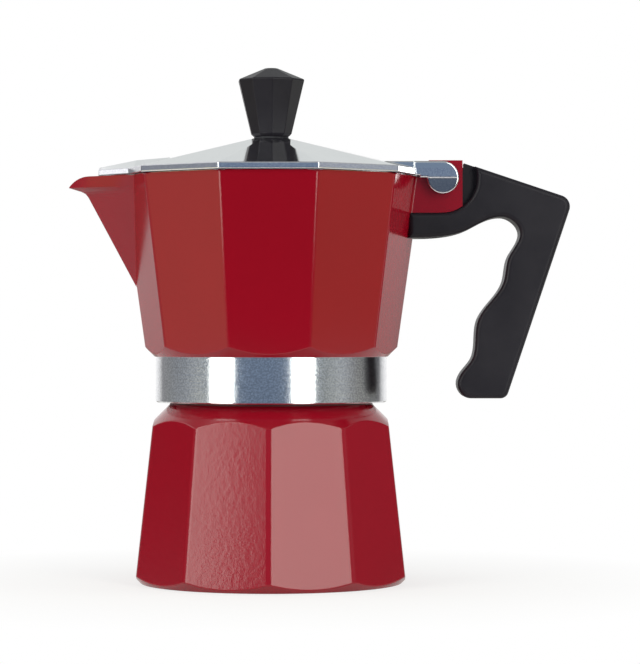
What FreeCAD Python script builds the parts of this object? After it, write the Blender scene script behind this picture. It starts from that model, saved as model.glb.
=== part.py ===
"""Three-cup stovetop moka pot with ten-sided castings, as an assembly of separate pieces.

Frame: millimetres, origin at the centre of the boiler's underside, +Z up, +X towards the handle
and -X towards the spout. The pot is closed and screwed together.
"""
import FreeCAD, Part
import math
import os

Vector = FreeCAD.Vector

# Castings: both vessels, the lid and the knob have the same number of facets
SIDES = 10
FACET_COS = math.cos(math.pi / SIDES)
MID_FACET = 180.0 / SIDES
CASTING_EDGE_MIN = 30.0
# Rounding where a turned cone cuts the facets
TURNED_EDGE_ROUND = 0.5
# Overrun of cutters past the faces that they open
OVER = 1.0
SCREW_PLAY = 0.2

# Boiler
BOILER_CLOCK = MID_FACET
BOILER_FOOT_R = 43.8
BOILER_TAPER = 0.1136
BOILER_EDGE_ROUND = 3.2
BOILER_REST_R = 40.6
BOILER_FLOOR = 3.2
BOILER_WALL = 2.8
SHOULDER_R_PLUS_Z = 87.0
NECK_R = 31.5
NECK_BORE_R = 28.4
NECK_TOP_Z = 66.0
FLOOR_CORNER = 2.0
DOME_RISE = 6.0

# Funnel
FUNNEL_SHEET = 0.8
FUNNEL_FLANGE_R = 30.8
BASKET_R = 27.6
BASKET_DEPTH = 20.0
FUNNEL_CONE_DROP = 6.5
FUNNEL_COLLAR_R = 5.0
FUNNEL_COLLAR_LENGTH = 6.0
SCREEN_LEDGE = 1.6
TUBE_R = 4.2
TUBE_BORE_R = 3.4
TUBE_FOOT_GAP = 5.8
TUBE_SLANT = 3.0

# Gasket and filter plate
GASKET_R = 32.0
GASKET_BORE_R = 25.9
GASKET_THICK = 3.5
GASKET_EASE = 0.4
PLATE_R = 28.3
PLATE_THICK = 0.8
PLATE_GAP = 0.4

# Perforation of the filter plate and of the funnel's screen
HOLE_R = 0.5
HOLE_ROWS = 5
HOLE_PITCH = 4.2

# Collector
SKIRT_R = 35.9
SKIRT_BORE_R = 33.3
SKIRT_FOOT_Z = 56.1
SKIRT_EASE = 0.4
SKIRT_TOP_Z = 70.2
COLLECTOR_FOOT_R = 39.45
COLLECTOR_FOOT_LAP = 0.35
COLLECTOR_EDGE_ROUND = 2.4
COLLECTOR_RIM_R = 46.8
COLLECTOR_RIM_Z = 126.0
COLLECTOR_WALL = 2.6
COLLECTOR_FLOOR_Z = 75.2
RIM_TURNED_R = 46.0
CHAMBER_R = 24.5
CHAMBER_RISE = 1.0
COLUMN_FOOT_R = 8.5
COLUMN_TOP_R = 5.6
COLUMN_TOP_Z = 117.0
COLUMN_BORE_R = 3.4
COLUMN_SLOT_W = 4.4
COLUMN_SLOT_H = 6.0
COLUMN_CAP = 2.2
COLUMN_ROUND = 1.4

# Spout
KEEL_FOOT_Z = 91.8
KEEL_ANGLE = 28.2
LIP_ANGLE = 17.0
LIP_BEND_R = 3.5
LIP_TIP_X = -63.0
LIP_TIP_Z = 122.6
LIP_DROP_R = 8.0
SPOUT_ROOT_HALF_W = 15.4
SPOUT_NOSE_R = 1.2
SPOUT_WALL = 2.0
CHANNEL_NOSE_R = 0.9
LIP_WALL = 0.8

# Hinge
PIN_X = 53.0
PIN_Z = 125.4
PIN_R = 1.5
PIN_PLAY = 0.05
BRACKET_HALF_W = 6.5
BRACKET_START_X = 40.0
BRACKET_END_X = 59.2
BRACKET_TOP_Z = 130.9
BRACKET_KNUCKLE_R = 6.9
BRACKET_HEEL_GAP = 0.05
BRACKET_ROOT_ROUND = 0.8
FORK_START_X = 55.6
FORK_HALF_W = 3.7
EAR_R = 4.9
EAR_GAP = 0.3
EAR_THICK = 3.5
EAR_SKIN = 0.9
EAR_ROUND = 0.45
EAR_STEP = 0.15
EAR_DRAFT = 0.07
EAR_TIP_ROUND = 0.3
EAR_ROOT = 1.6
LUG_HALF_W = 9.0
LUG_TOP_Z = 130.5
LUG_START_X = 34.0
LUG_END_X = 45.8
LUG_WALL = 3.0

# Lid
LID_R = 47.9
LID_GAP = 0.2
LID_RIM = 1.9
LID_SLOPE = 0.236
LID_LIP = 1.9
LID_SEAT_R = 8.0
LID_PAD_R = 5.4
LID_PAD_Z = 138.4
BEAK_RIDGE = ((-31.5, 132.2), (-41.9, 131.3), (-53.6, 128.9))
BEAK_ROOT_HALF_W = 15.6
BEAK_TIP_HALF_W = 2.2
BEAK_WALL = 2.0
BEAK_LEAN = 0.3
PYRAMID_TOP_R = 1.0

# Knob
KNOB_CLOCK = 21.4
KNOB_FOOT_R = 5.4
KNOB_NECK_R = 6.55
KNOB_NECK_Z = 139.4
KNOB_RIM_R = 10.7
KNOB_RIM_Z = 156.2
KNOB_CROWN_SLOPE = 0.42
KNOB_CROWN_TOP_R = 2.0
KNOB_ROUND = 0.5
INSERT_R = 3.0
INSERT_LENGTH = 9.0
KNOB_SCREW_R = 2.0
KNOB_SCREW_HEAD_R = 3.8
KNOB_SCREW_HEAD = 2.4
KNOB_WASHER_R = 5.0

# Handle
HANDLE_TILT = 18.5
HANDLE_HALF_W = 7.4
HANDLE_ROUND = 1.5
HANDLE_CORNER = (93.4, 118.9)
HANDLE_CORNER_R = 3.6
HANDLE_FOOT_Z = 57.3
HANDLE_HEEL_R = 2.6
HANDLE_HOOK_R = 4.2
ARM_START_X = 42.6
ARM_FOOT_Z = 106.9
SHOULDER_ARC_R = 10.7
TONGUE_HALF_W = 3.5
TONGUE_START_X = 56.2
TONGUE_STEP_X = 59.8
TONGUE_STEP = 1.4
TONGUE_ROOT = 4.0
TONGUE_LIFT = 1.2
FINGER_ARC_TOP = (71.2, 113.4)
FINGER_ARC_SIDE = (77.0, 108.3)
ARM_SWEEP_POINT = (60.0, 109.1)
ARM_SWEEP_ANGLE = 23.0
# Crests and hollows of the finger grip: distance down the grip, width from the outer edge
GRIP_WAVE = ((20.0, 13.0), (27.0, 12.1), (41.0, 15.8), (51.8, 13.7), (60.0, 15.8))
GRIP_ORIGIN = (91.9, 115.1)
HANDLE_SCREW_X = 49.8
HANDLE_SCREW_R = 2.0
HANDLE_SCREW_TOP_Z = 121.5
HANDLE_SCREW_HEAD_R = 3.6
HANDLE_SCREW_HEAD = 2.6
HANDLE_BORE_DEPTH = 3.6
WASHER_THICK = 0.5

# Safety valve, measured outwards from the pot's axis
VALVE_ANGLE = 108.0
VALVE_Z = 30.0
VALVE_PAD_R = 7.6
VALVE_PAD_FACE = 40.2
VALVE_WASHER = 0.6
VALVE_HEX = 10.0
VALVE_HEX_LENGTH = 4.2
VALVE_NOSE_R = 4.3
VALVE_NOSE_END = 49.0
VALVE_NOSE_ROUND = 0.6
VALVE_WASHER_LAP = 0.8
VALVE_SHANK_R = 4.0
VALVE_SHANK_END = 33.4
VALVE_INLET_R = 1.3
VALVE_SEAT = 35.6
VALVE_CHAMBER_R = 2.9
POPPET_DISC_R = 2.3
POPPET_DISC = 1.2
POPPET_STEM_R = 0.8
POPPET_STEM_END = 50.6
CAP_LENGTH = 2.0
CAP_HOLE_R = 1.15
SPRING_R = 1.75
SPRING_WIRE_R = 0.28
SPRING_TURNS = 6
SPRING_PLAY = 0.05


def wheel_point(radius, angle, z):
    """Point at a radius and an angle (degrees from +X) round the pot's axis."""
    turn = math.radians(angle)
    return Vector(radius * math.cos(turn), radius * math.sin(turn), z)


def facet_ring(corner_r, z, clock=0.0):
    """Closed regular polygon with the castings' number of sides."""
    corners = [wheel_point(corner_r, clock + 360.0 * i / SIDES, z) for i in range(SIDES + 1)]
    return Part.makePolygon(corners)


def facet_taper(foot_r, foot_z, top_r, top_z, clock=0.0):
    """Faceted frustum, with flat sides, between two rings given by their corner radii."""
    foot = facet_ring(foot_r, foot_z, clock)
    top = facet_ring(top_r, top_z, clock)
    faces = [Part.Face(foot), Part.Face(top)]
    low = [vertex.Point for vertex in foot.OrderedVertexes]
    high = [vertex.Point for vertex in top.OrderedVertexes]
    for i in range(SIDES):
        j = (i + 1) % SIDES
        faces.append(Part.Face(Part.makePolygon([low[i], low[j], high[j], high[i], low[i]])))
    shell = Part.makeShell(faces)
    shell.sewShape()
    return Part.makeSolid(shell)


def turned(profile, seam=0.0):
    """Solid of revolution about Z from (radius, z) corners, starting at the angle of its seam."""
    corners = [wheel_point(r, seam, z) for r, z in profile]
    face = Part.Face(Part.makePolygon(corners + corners[:1]))
    return face.revolve(Vector(0, 0, 0), Vector(0, 0, 1), 360)


def plate(outline, half_w):
    """Plate of equal thickness on both sides of the Y = 0 plane from a closed wire in that plane."""
    face = Part.Face(outline)
    face.translate(Vector(0, -half_w, 0))
    return face.extrude(Vector(0, 2 * half_w, 0))


def side_polygon(points):
    """Closed wire in the Y = 0 plane from (x, z) corners."""
    corners = [Vector(x, 0, z) for x, z in points]
    return Part.makePolygon(corners + corners[:1])


def cross_cylinder(radius, x, z, y_start, y_end):
    """Cylinder along Y."""
    return Part.makeCylinder(radius, y_end - y_start, Vector(x, y_start, z), Vector(0, 1, 0))


def rounded(shape, radius, wanted):
    """Fillet the edges that a test picks."""
    return shape.makeFillet(radius, [edge for edge in shape.Edges if wanted(edge)])


def is_straight(edge):
    """Whether an edge is a line."""
    return edge.Curve.TypeId == "Part::GeomLine"


def is_cast_edge(edge):
    """Whether an edge lies between two facets of a casting."""
    return is_straight(edge) and edge.Length > CASTING_EDGE_MIN


def is_turned_edge(edge, low_z, high_z):
    """Whether an edge between two heights lies where a turned cone cuts the facets."""
    upright = is_straight(edge) or edge.BoundBox.ZLength > CASTING_EDGE_MIN / 2
    return not upright and low_z < edge.CenterOfMass.z < high_z


def perforated_disc(radius, thick, z):
    """Disc pierced by a hexagonal pattern of small round holes, as one holed face made thick."""
    rim = Part.Wire(Part.makeCircle(radius, Vector(0, 0, z)))
    holes = []
    for row in range(-HOLE_ROWS, HOLE_ROWS + 1):
        count = 2 * HOLE_ROWS + 1 - abs(row)
        y = row * HOLE_PITCH * math.sqrt(3) / 2
        for i in range(count):
            x = (i - (count - 1) / 2) * HOLE_PITCH
            holes.append(Part.Wire(Part.makeCircle(HOLE_R, Vector(x, y, z))))
    return Part.makeFace([rim] + holes, "Part::FaceMakerBullseye").extrude(Vector(0, 0, thick))


# Levels of the stack that the screw thread clamps together
FLANGE_TOP_Z = NECK_TOP_Z + FUNNEL_SHEET
GASKET_TOP_Z = FLANGE_TOP_Z + GASKET_THICK
PLATE_TOP_Z = GASKET_TOP_Z + PLATE_THICK
BASKET_FLOOR_Z = NECK_TOP_Z - BASKET_DEPTH
LID_FOOT_Z = COLLECTOR_RIM_Z + LID_GAP
LID_EDGE_Z = LID_FOOT_Z + LID_RIM
LID_PEAK_Z = LID_EDGE_Z + LID_SLOPE * LID_R
EAR_IN_Y = BRACKET_HALF_W + EAR_GAP
EAR_OUT_Y = EAR_IN_Y + EAR_THICK
BRACKET_FOOT_Z = PIN_Z - SHOULDER_ARC_R
BRACKET_HEEL_R = SHOULDER_ARC_R - BRACKET_HEEL_GAP
VALVE_HEX_FACE = VALVE_PAD_FACE + VALVE_WASHER


def boiler_corner_r(z):
    """Corner radius of the boiler's tapering facets at a height."""
    return BOILER_FOOT_R - BOILER_TAPER * z


def collector_corner_r(z):
    """Corner radius of the collector's flaring facets at a height."""
    foot_z = SKIRT_TOP_Z + COLLECTOR_FOOT_R - SKIRT_R
    rise = (COLLECTOR_RIM_R - COLLECTOR_FOOT_R) / (COLLECTOR_RIM_Z - foot_z)
    return COLLECTOR_FOOT_R + rise * (z - foot_z)


def valve_place(shape):
    """Carry a shape from the valve's own axis, +Z outwards, to the boiler's rear facet."""
    outwards = wheel_point(1.0, VALVE_ANGLE, 0.0)
    turn = FreeCAD.Rotation(Vector(0, 0, 1), outwards)
    shape.Placement = FreeCAD.Placement(Vector(0, 0, VALVE_Z), turn).multiply(shape.Placement)
    return shape


def valve_cylinder(radius, start, end):
    """Cylinder on the valve's own axis."""
    return Part.makeCylinder(radius, end - start, Vector(0, 0, start))


def boiler():
    """Ten-sided vessel with a turned 45 degree shoulder and foot, a round inside and a valve pad."""
    facets = facet_taper(BOILER_FOOT_R, 0.0, boiler_corner_r(NECK_TOP_Z), NECK_TOP_Z, BOILER_CLOCK)
    envelope = turned([
        (0.0, 0.0),
        (BOILER_REST_R, 0.0),
        (SHOULDER_R_PLUS_Z / 2 + BOILER_REST_R / 2, SHOULDER_R_PLUS_Z / 2 - BOILER_REST_R / 2),
        (NECK_R, SHOULDER_R_PLUS_Z - NECK_R),
        (NECK_R, NECK_TOP_Z),
        (0.0, NECK_TOP_Z),
    ])
    shell = rounded(facets.common(envelope), BOILER_EDGE_ROUND, is_cast_edge)
    shoulder_z = SHOULDER_R_PLUS_Z - NECK_R
    shell = rounded(shell, TURNED_EDGE_ROUND, lambda edge: is_turned_edge(edge, 0.1, shoulder_z - 1.0))
    pad_root = VALVE_PAD_FACE - BOILER_WALL
    pad = valve_place(valve_cylinder(VALVE_PAD_R, pad_root, VALVE_PAD_FACE))
    shell = shell.fuse(pad)
    foot_r = boiler_corner_r(BOILER_FLOOR) * FACET_COS - BOILER_WALL
    dome_z = SHOULDER_R_PLUS_Z - BOILER_WALL * math.sqrt(2) - NECK_BORE_R
    wall_z = dome_z - DOME_RISE
    hollow = turned([
        (0.0, BOILER_FLOOR),
        (foot_r - FLOOR_CORNER, BOILER_FLOOR),
        (foot_r, BOILER_FLOOR + FLOOR_CORNER),
        (boiler_corner_r(wall_z) * FACET_COS - BOILER_WALL, wall_z),
        (NECK_BORE_R, dome_z),
        (NECK_BORE_R, NECK_TOP_Z + OVER),
        (0.0, NECK_TOP_Z + OVER),
    ])
    port = valve_place(valve_cylinder(VALVE_SHANK_R, VALVE_SHANK_END - OVER, VALVE_PAD_FACE + OVER))
    return shell.cut(hollow).cut(port)


def funnel_basket():
    """Spun basket: flat flange, straight wall, ledge for the screen, cone and a collar."""
    inner_r = BASKET_R - FUNNEL_SHEET
    cone_foot_z = BASKET_FLOOR_Z - FUNNEL_CONE_DROP
    collar_foot_z = cone_foot_z - FUNNEL_COLLAR_LENGTH
    ledge_r = inner_r - SCREEN_LEDGE
    return turned([
        (FUNNEL_FLANGE_R, FLANGE_TOP_Z),
        (inner_r, FLANGE_TOP_Z),
        (inner_r, BASKET_FLOOR_Z),
        (ledge_r, BASKET_FLOOR_Z),
        (TUBE_R, cone_foot_z),
        (TUBE_R, collar_foot_z),
        (FUNNEL_COLLAR_R, collar_foot_z),
        (FUNNEL_COLLAR_R, cone_foot_z - FUNNEL_SHEET / 2),
        (ledge_r + FUNNEL_SHEET, BASKET_FLOOR_Z - FUNNEL_SHEET),
        (BASKET_R, BASKET_FLOOR_Z - FUNNEL_SHEET),
        (BASKET_R, NECK_TOP_Z),
        (FUNNEL_FLANGE_R, NECK_TOP_Z),
    ])


def funnel_screen():
    """Perforated floor of the basket, resting on its ledge."""
    return perforated_disc(BASKET_R - FUNNEL_SHEET, FUNNEL_SHEET, BASKET_FLOOR_Z)


def funnel_tube():
    """Riser tube pressed into the collar, with a slanted foot just above the boiler's floor."""
    top_z = BASKET_FLOOR_Z - FUNNEL_CONE_DROP
    foot_z = BOILER_FLOOR + TUBE_FOOT_GAP
    tube = Part.makeCylinder(TUBE_R, top_z - foot_z, Vector(0, 0, foot_z))
    tube = tube.cut(Part.makeCylinder(TUBE_BORE_R, top_z, Vector(0, 0, 0)))
    slant = side_polygon([
        (-TUBE_R - OVER, foot_z - OVER),
        (TUBE_R + OVER, foot_z - OVER),
        (TUBE_R + OVER, foot_z + TUBE_SLANT),
        (-TUBE_R - OVER, foot_z),
    ])
    return tube.cut(plate(slant, TUBE_R + OVER))


def gasket():
    """Sealing ring with slightly eased edges."""
    return turned([
        (GASKET_BORE_R + GASKET_EASE, FLANGE_TOP_Z),
        (GASKET_R - GASKET_EASE, FLANGE_TOP_Z),
        (GASKET_R, FLANGE_TOP_Z + GASKET_EASE),
        (GASKET_R, GASKET_TOP_Z - GASKET_EASE),
        (GASKET_R - GASKET_EASE, GASKET_TOP_Z),
        (GASKET_BORE_R + GASKET_EASE, GASKET_TOP_Z),
        (GASKET_BORE_R, GASKET_TOP_Z - GASKET_EASE),
        (GASKET_BORE_R, FLANGE_TOP_Z + GASKET_EASE),
    ])


def filter_plate():
    """Perforated plate held between the gasket and the collector."""
    return perforated_disc(PLATE_R, PLATE_THICK, GASKET_TOP_Z)


def nose_section(root, nose_x, nose_r):
    """Level V-shaped section from a root corner to a rounded nose and back, closed at the root."""
    centre = Vector(nose_x + nose_r, 0, root.z)
    reach = centre - root
    heading = math.atan2(reach.y, reach.x) - math.asin(nose_r / reach.Length)
    run = math.sqrt(reach.Length ** 2 - nose_r ** 2)
    touch = root + Vector(math.cos(heading), math.sin(heading), 0) * run
    far_root = Vector(root.x, -root.y, root.z)
    far_touch = Vector(touch.x, -touch.y, touch.z)
    return Part.Wire([
        Part.makeLine(far_root, far_touch),
        Part.Arc(far_touch, Vector(nose_x, 0, root.z), touch).toShape(),
        Part.makeLine(touch, root),
        Part.makeLine(root, far_root),
    ])


def spout_wedge(foot, tip, root_top, nose_r):
    """V-shaped prow that grows from a point: straight keel, a bend, a lip and a rounded nose.

    The keel starts at foot and reaches tip, both (x, z). The root corners run straight from foot
    to root_top on both sides.
    """
    keel_turn = math.radians(KEEL_ANGLE)
    lip_turn = math.radians(LIP_ANGLE)
    keel_dir = Vector(-math.sin(keel_turn), 0, math.cos(keel_turn))
    lip_dir = Vector(-math.cos(lip_turn), 0, math.sin(lip_turn))
    start = Vector(foot[0], 0, foot[1])
    end = Vector(tip[0], 0, tip[1])
    gap = end - start
    spread = keel_dir.x * lip_dir.z - keel_dir.z * lip_dir.x
    corner = start + keel_dir * ((gap.x * lip_dir.z - gap.z * lip_dir.x) / spread)
    bend_turn = math.pi / 2 - keel_turn - lip_turn
    trim = LIP_BEND_R * math.tan(bend_turn / 2)
    pull = (lip_dir - keel_dir).normalize()
    keel = [
        corner - keel_dir * trim,
        corner + pull * (LIP_BEND_R / math.cos(bend_turn / 2) - LIP_BEND_R),
        corner + lip_dir * trim,
        end,
        Vector(end.x, 0, root_top.z),
    ]
    sections = [Part.Vertex(start)]
    for point in keel:
        share = (point.z - start.z) / (root_top.z - start.z)
        root = start + (root_top - start) * share
        sections.append(nose_section(Vector(root.x, root.y, point.z), point.x, nose_r))
    return Part.makeLoft(sections, True, True)


def spout_top_cut():
    """Cutter above the rim, falling in an arc to the lip's tip."""
    drop = COLLECTOR_RIM_Z - LIP_TIP_Z
    run = math.sqrt(2 * LIP_DROP_R * drop - drop * drop)
    half = math.asin(run / LIP_DROP_R) / 2
    flat_end = Vector(LIP_TIP_X + run, 0, COLLECTOR_RIM_Z)
    centre = flat_end - Vector(0, 0, LIP_DROP_R)
    middle = centre + Vector(-math.sin(half), 0, math.cos(half)) * LIP_DROP_R
    tip = Vector(LIP_TIP_X, 0, LIP_TIP_Z)
    outside = tip - Vector(OVER, 0, 0)
    above = Vector(outside.x, 0, COLLECTOR_RIM_Z + OVER)
    inside = Vector(-COLLECTOR_FOOT_R, 0, COLLECTOR_RIM_Z + OVER)
    rim = Vector(-COLLECTOR_FOOT_R, 0, COLLECTOR_RIM_Z)
    outline = Part.Wire([
        Part.Arc(flat_end, middle, tip).toShape(),
        Part.makeLine(tip, outside),
        Part.makeLine(outside, above),
        Part.makeLine(above, inside),
        Part.makeLine(inside, rim),
        Part.makeLine(rim, flat_end),
    ])
    return plate(outline, 2 * SPOUT_ROOT_HALF_W)


def bracket():
    """Hinge bracket: a block with a rounded knuckle and heel, forked at its end for the handle."""
    block = Part.makeBox(
        BRACKET_END_X - BRACKET_START_X, 2 * BRACKET_HALF_W, BRACKET_TOP_Z - BRACKET_FOOT_Z,
        Vector(BRACKET_START_X, -BRACKET_HALF_W, BRACKET_FOOT_Z))
    corner_w = BRACKET_HALF_W + OVER
    knuckle = Part.makeBox(
        PIN_X - BRACKET_START_X + OVER, 2 * corner_w, BRACKET_TOP_Z - COLLECTOR_RIM_Z + OVER,
        Vector(BRACKET_START_X - OVER, -corner_w, COLLECTOR_RIM_Z))
    knuckle = knuckle.cut(cross_cylinder(BRACKET_KNUCKLE_R, PIN_X, PIN_Z, -corner_w, corner_w))
    heel = Part.makeBox(
        BRACKET_END_X - PIN_X + OVER, 2 * corner_w, BRACKET_HEEL_R / 2 + OVER,
        Vector(PIN_X, -corner_w, BRACKET_FOOT_Z - OVER))
    heel = heel.cut(cross_cylinder(BRACKET_HEEL_R, PIN_X, PIN_Z, -corner_w, corner_w))
    fork = Part.makeBox(
        BRACKET_END_X - FORK_START_X + OVER, 2 * FORK_HALF_W, BRACKET_TOP_Z - BRACKET_FOOT_Z + 2 * OVER,
        Vector(FORK_START_X, -FORK_HALF_W, BRACKET_FOOT_Z - OVER))
    return block.cut(knuckle).cut(heel).cut(fork)


def collector_body():
    """Outer form of the faceted vessel with its turned foot cone, skirt and turned rim."""
    facets = facet_taper(
        collector_corner_r(SKIRT_FOOT_Z), SKIRT_FOOT_Z, COLLECTOR_RIM_R, COLLECTOR_RIM_Z)
    reach = COLLECTOR_RIM_R + 4.0
    cone_foot_r = SKIRT_R + COLLECTOR_FOOT_LAP
    foot_cone = turned([
        (0.0, SKIRT_TOP_Z),
        (cone_foot_r, SKIRT_TOP_Z),
        (reach, SKIRT_TOP_Z + reach - cone_foot_r),
        (reach, COLLECTOR_RIM_Z),
        (0.0, COLLECTOR_RIM_Z),
    ], MID_FACET)
    body = rounded(facets.common(foot_cone), COLLECTOR_EDGE_ROUND, is_cast_edge)
    body = rounded(
        body, TURNED_EDGE_ROUND,
        lambda edge: is_turned_edge(edge, SKIRT_TOP_Z + 0.1, COLLECTOR_RIM_Z - 2.0))
    rim_cut = turned([
        (RIM_TURNED_R, COLLECTOR_RIM_Z),
        (reach, COLLECTOR_RIM_Z),
        (reach, COLLECTOR_RIM_Z - reach + RIM_TURNED_R),
    ], MID_FACET)
    skirt = turned([
        (0.0, SKIRT_FOOT_Z),
        (SKIRT_R - SKIRT_EASE, SKIRT_FOOT_Z),
        (SKIRT_R, SKIRT_FOOT_Z + SKIRT_EASE),
        (SKIRT_R, SKIRT_TOP_Z),
        (0.0, SKIRT_TOP_Z),
    ], MID_FACET)
    return body.cut(rim_cut).fuse(skirt)


def collector_column():
    """Hollow cone that the coffee rises through, closed on top, with two side outlets."""
    cone = Part.makeCone(
        COLUMN_FOOT_R, COLUMN_TOP_R, COLUMN_TOP_Z - COLLECTOR_FLOOR_Z + OVER,
        Vector(0, 0, COLLECTOR_FLOOR_Z - OVER))
    cone = rounded(cone, COLUMN_ROUND, lambda edge: edge.CenterOfMass.z > COLUMN_TOP_Z - 0.1)
    slot_foot_z = COLUMN_TOP_Z - COLUMN_CAP - COLUMN_SLOT_H
    slot = Part.makeBox(
        4 * COLUMN_FOOT_R, COLUMN_SLOT_W, COLUMN_SLOT_H,
        Vector(-2 * COLUMN_FOOT_R, -COLUMN_SLOT_W / 2, slot_foot_z))
    return cone.cut(slot)


def collector_spout_outer():
    """Outside of the spout with its rounded keel."""
    foot_x = -collector_corner_r(KEEL_FOOT_Z)
    root_x = SPOUT_ROOT_HALF_W * math.tan(math.pi / SIDES) - collector_corner_r(COLLECTOR_RIM_Z)
    root_top = Vector(root_x, SPOUT_ROOT_HALF_W, COLLECTOR_RIM_Z)
    return spout_wedge((foot_x, KEEL_FOOT_Z), (LIP_TIP_X, LIP_TIP_Z), root_top, SPOUT_NOSE_R)


def collector_spout_channel():
    """Inside of the spout, open to the vessel and to the top, thinning out to the lip."""
    inset = SPOUT_WALL * math.sqrt(2)
    foot_x = inset - collector_corner_r(KEEL_FOOT_Z)
    top_z = COLLECTOR_RIM_Z + OVER
    root_x = SPOUT_ROOT_HALF_W * math.tan(math.pi / SIDES) - collector_corner_r(top_z) + inset
    root_top = Vector(root_x, SPOUT_ROOT_HALF_W - inset / 2, top_z)
    tip = (LIP_TIP_X + LIP_WALL, LIP_TIP_Z + LIP_WALL / 2)
    return spout_wedge((foot_x, KEEL_FOOT_Z), tip, root_top, CHANNEL_NOSE_R)


def is_bracket_root(edge):
    """Whether an edge lies in the upright corner between the bracket's side and a facet."""
    middle = edge.CenterOfMass
    upright = edge.BoundBox.ZLength > (COLLECTOR_RIM_Z - BRACKET_FOOT_Z) / 2
    return upright and abs(abs(middle.y) - BRACKET_HALF_W) < 0.01 and middle.x < COLLECTOR_RIM_R


def collector():
    """Upper vessel, spout, hinge bracket, column and threaded skirt, cast in one."""
    shell = rounded(collector_body().fuse(bracket()), BRACKET_ROOT_ROUND, is_bracket_root)
    shell = shell.fuse(collector_spout_outer())
    wall = COLLECTOR_WALL / FACET_COS
    rim_in_r = collector_corner_r(COLLECTOR_RIM_Z + OVER) - wall
    hollow = facet_taper(
        collector_corner_r(COLLECTOR_FLOOR_Z) - wall, COLLECTOR_FLOOR_Z,
        rim_in_r, COLLECTOR_RIM_Z + OVER)
    knuckle_keep = Part.makeBox(
        20.0, 2 * BRACKET_HALF_W, 20.0,
        Vector(PIN_X - BRACKET_KNUCKLE_R, -BRACKET_HALF_W, COLLECTOR_RIM_Z))
    shell = shell.cut(hollow.cut(knuckle_keep))
    shell = shell.cut(collector_spout_channel()).cut(spout_top_cut())
    shell = shell.fuse(collector_column())
    thread_room = Part.makeCylinder(
        SKIRT_BORE_R, GASKET_TOP_Z - SKIRT_FOOT_Z + OVER, Vector(0, 0, SKIRT_FOOT_Z - OVER))
    recess = Part.makeCylinder(
        PLATE_R + PLATE_GAP, PLATE_THICK + OVER, Vector(0, 0, GASKET_TOP_Z - OVER))
    chamber = Part.makeCone(
        CHAMBER_R, COLUMN_BORE_R, CHAMBER_RISE, Vector(0, 0, PLATE_TOP_Z))
    chamber = chamber.fuse(Part.makeCylinder(CHAMBER_R, OVER, Vector(0, 0, PLATE_TOP_Z - OVER)))
    bore_end_z = COLUMN_TOP_Z - COLUMN_CAP
    bore = Part.makeCylinder(COLUMN_BORE_R, bore_end_z - PLATE_TOP_Z, Vector(0, 0, PLATE_TOP_Z))
    pin_bore = cross_cylinder(PIN_R + PIN_PLAY, PIN_X, PIN_Z, -EAR_OUT_Y, EAR_OUT_Y)
    screw_bore = Part.makeCylinder(
        HANDLE_SCREW_R, HANDLE_SCREW_TOP_Z - BRACKET_FOOT_Z + OVER,
        Vector(HANDLE_SCREW_X, 0, BRACKET_FOOT_Z - OVER))
    return shell.cut([thread_room, recess, chamber, bore, pin_bore, screw_bore])


def house(x, half_w, foot_z, eave_z, ridge_z):
    """Gabled section across the lid's beak, with sides that lean in."""
    eave_w = half_w - BEAK_LEAN * (eave_z - foot_z)
    corners = [
        Vector(x, -half_w, foot_z),
        Vector(x, half_w, foot_z),
        Vector(x, eave_w, eave_z),
        Vector(x, 0, ridge_z),
        Vector(x, -eave_w, eave_z),
    ]
    return Part.makePolygon(corners + corners[:1])


def beak(inset, foot_z):
    """Gable that covers the spout, drawn in by a wall thickness for its inside."""
    sections = []
    for (x, ridge_z), half_w in zip(BEAK_RIDGE, (BEAK_ROOT_HALF_W, BEAK_ROOT_HALF_W, BEAK_TIP_HALF_W)):
        at_tip = half_w < BEAK_ROOT_HALF_W
        sections.append(house(
            x + (inset if at_tip else 0.0),
            max(half_w - inset, 0.6),
            foot_z,
            LID_EDGE_Z - inset + 0.2 * bool(inset),
            ridge_z - inset))
    return Part.makeLoft(sections, True, True)


def ear_tip(y_inner, y_outer):
    """Lower half of an ear's round end, set back from the arm's face and drafted inwards."""
    pin = Vector(PIN_X, 0, PIN_Z)
    back = pin - Vector(EAR_R, 0, 0)
    front = pin + Vector(EAR_R, 0, 0)
    rim = Part.Arc(back, pin - Vector(0, 0, EAR_R), front).toShape()
    face = Part.Face(Part.Wire([rim, Part.makeLine(front, back)]))
    face.translate(Vector(0, y_inner, 0))
    solid = face.extrude(Vector(0, y_outer - y_inner, 0))
    side = math.copysign(1.0, y_outer)
    depth = EAR_R + OVER
    corners = [
        Vector(back.x - OVER, y_outer - side * EAR_STEP, PIN_Z),
        Vector(back.x - OVER, y_outer + side * OVER, PIN_Z),
        Vector(back.x - OVER, y_outer + side * OVER, PIN_Z - depth),
        Vector(back.x - OVER, y_outer - side * (EAR_STEP + EAR_DRAFT * depth), PIN_Z - depth),
    ]
    draft = Part.Face(Part.makePolygon(corners + corners[:1])).extrude(Vector(2 * depth, 0, 0))
    solid = solid.cut(draft)

    def is_rim(edge):
        middle = edge.CenterOfMass
        return middle.z < PIN_Z - EAR_R / 2 and abs(middle.y) > abs(y_inner + y_outer) / 2

    return rounded(solid, EAR_TIP_ROUND, is_rim)


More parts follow.
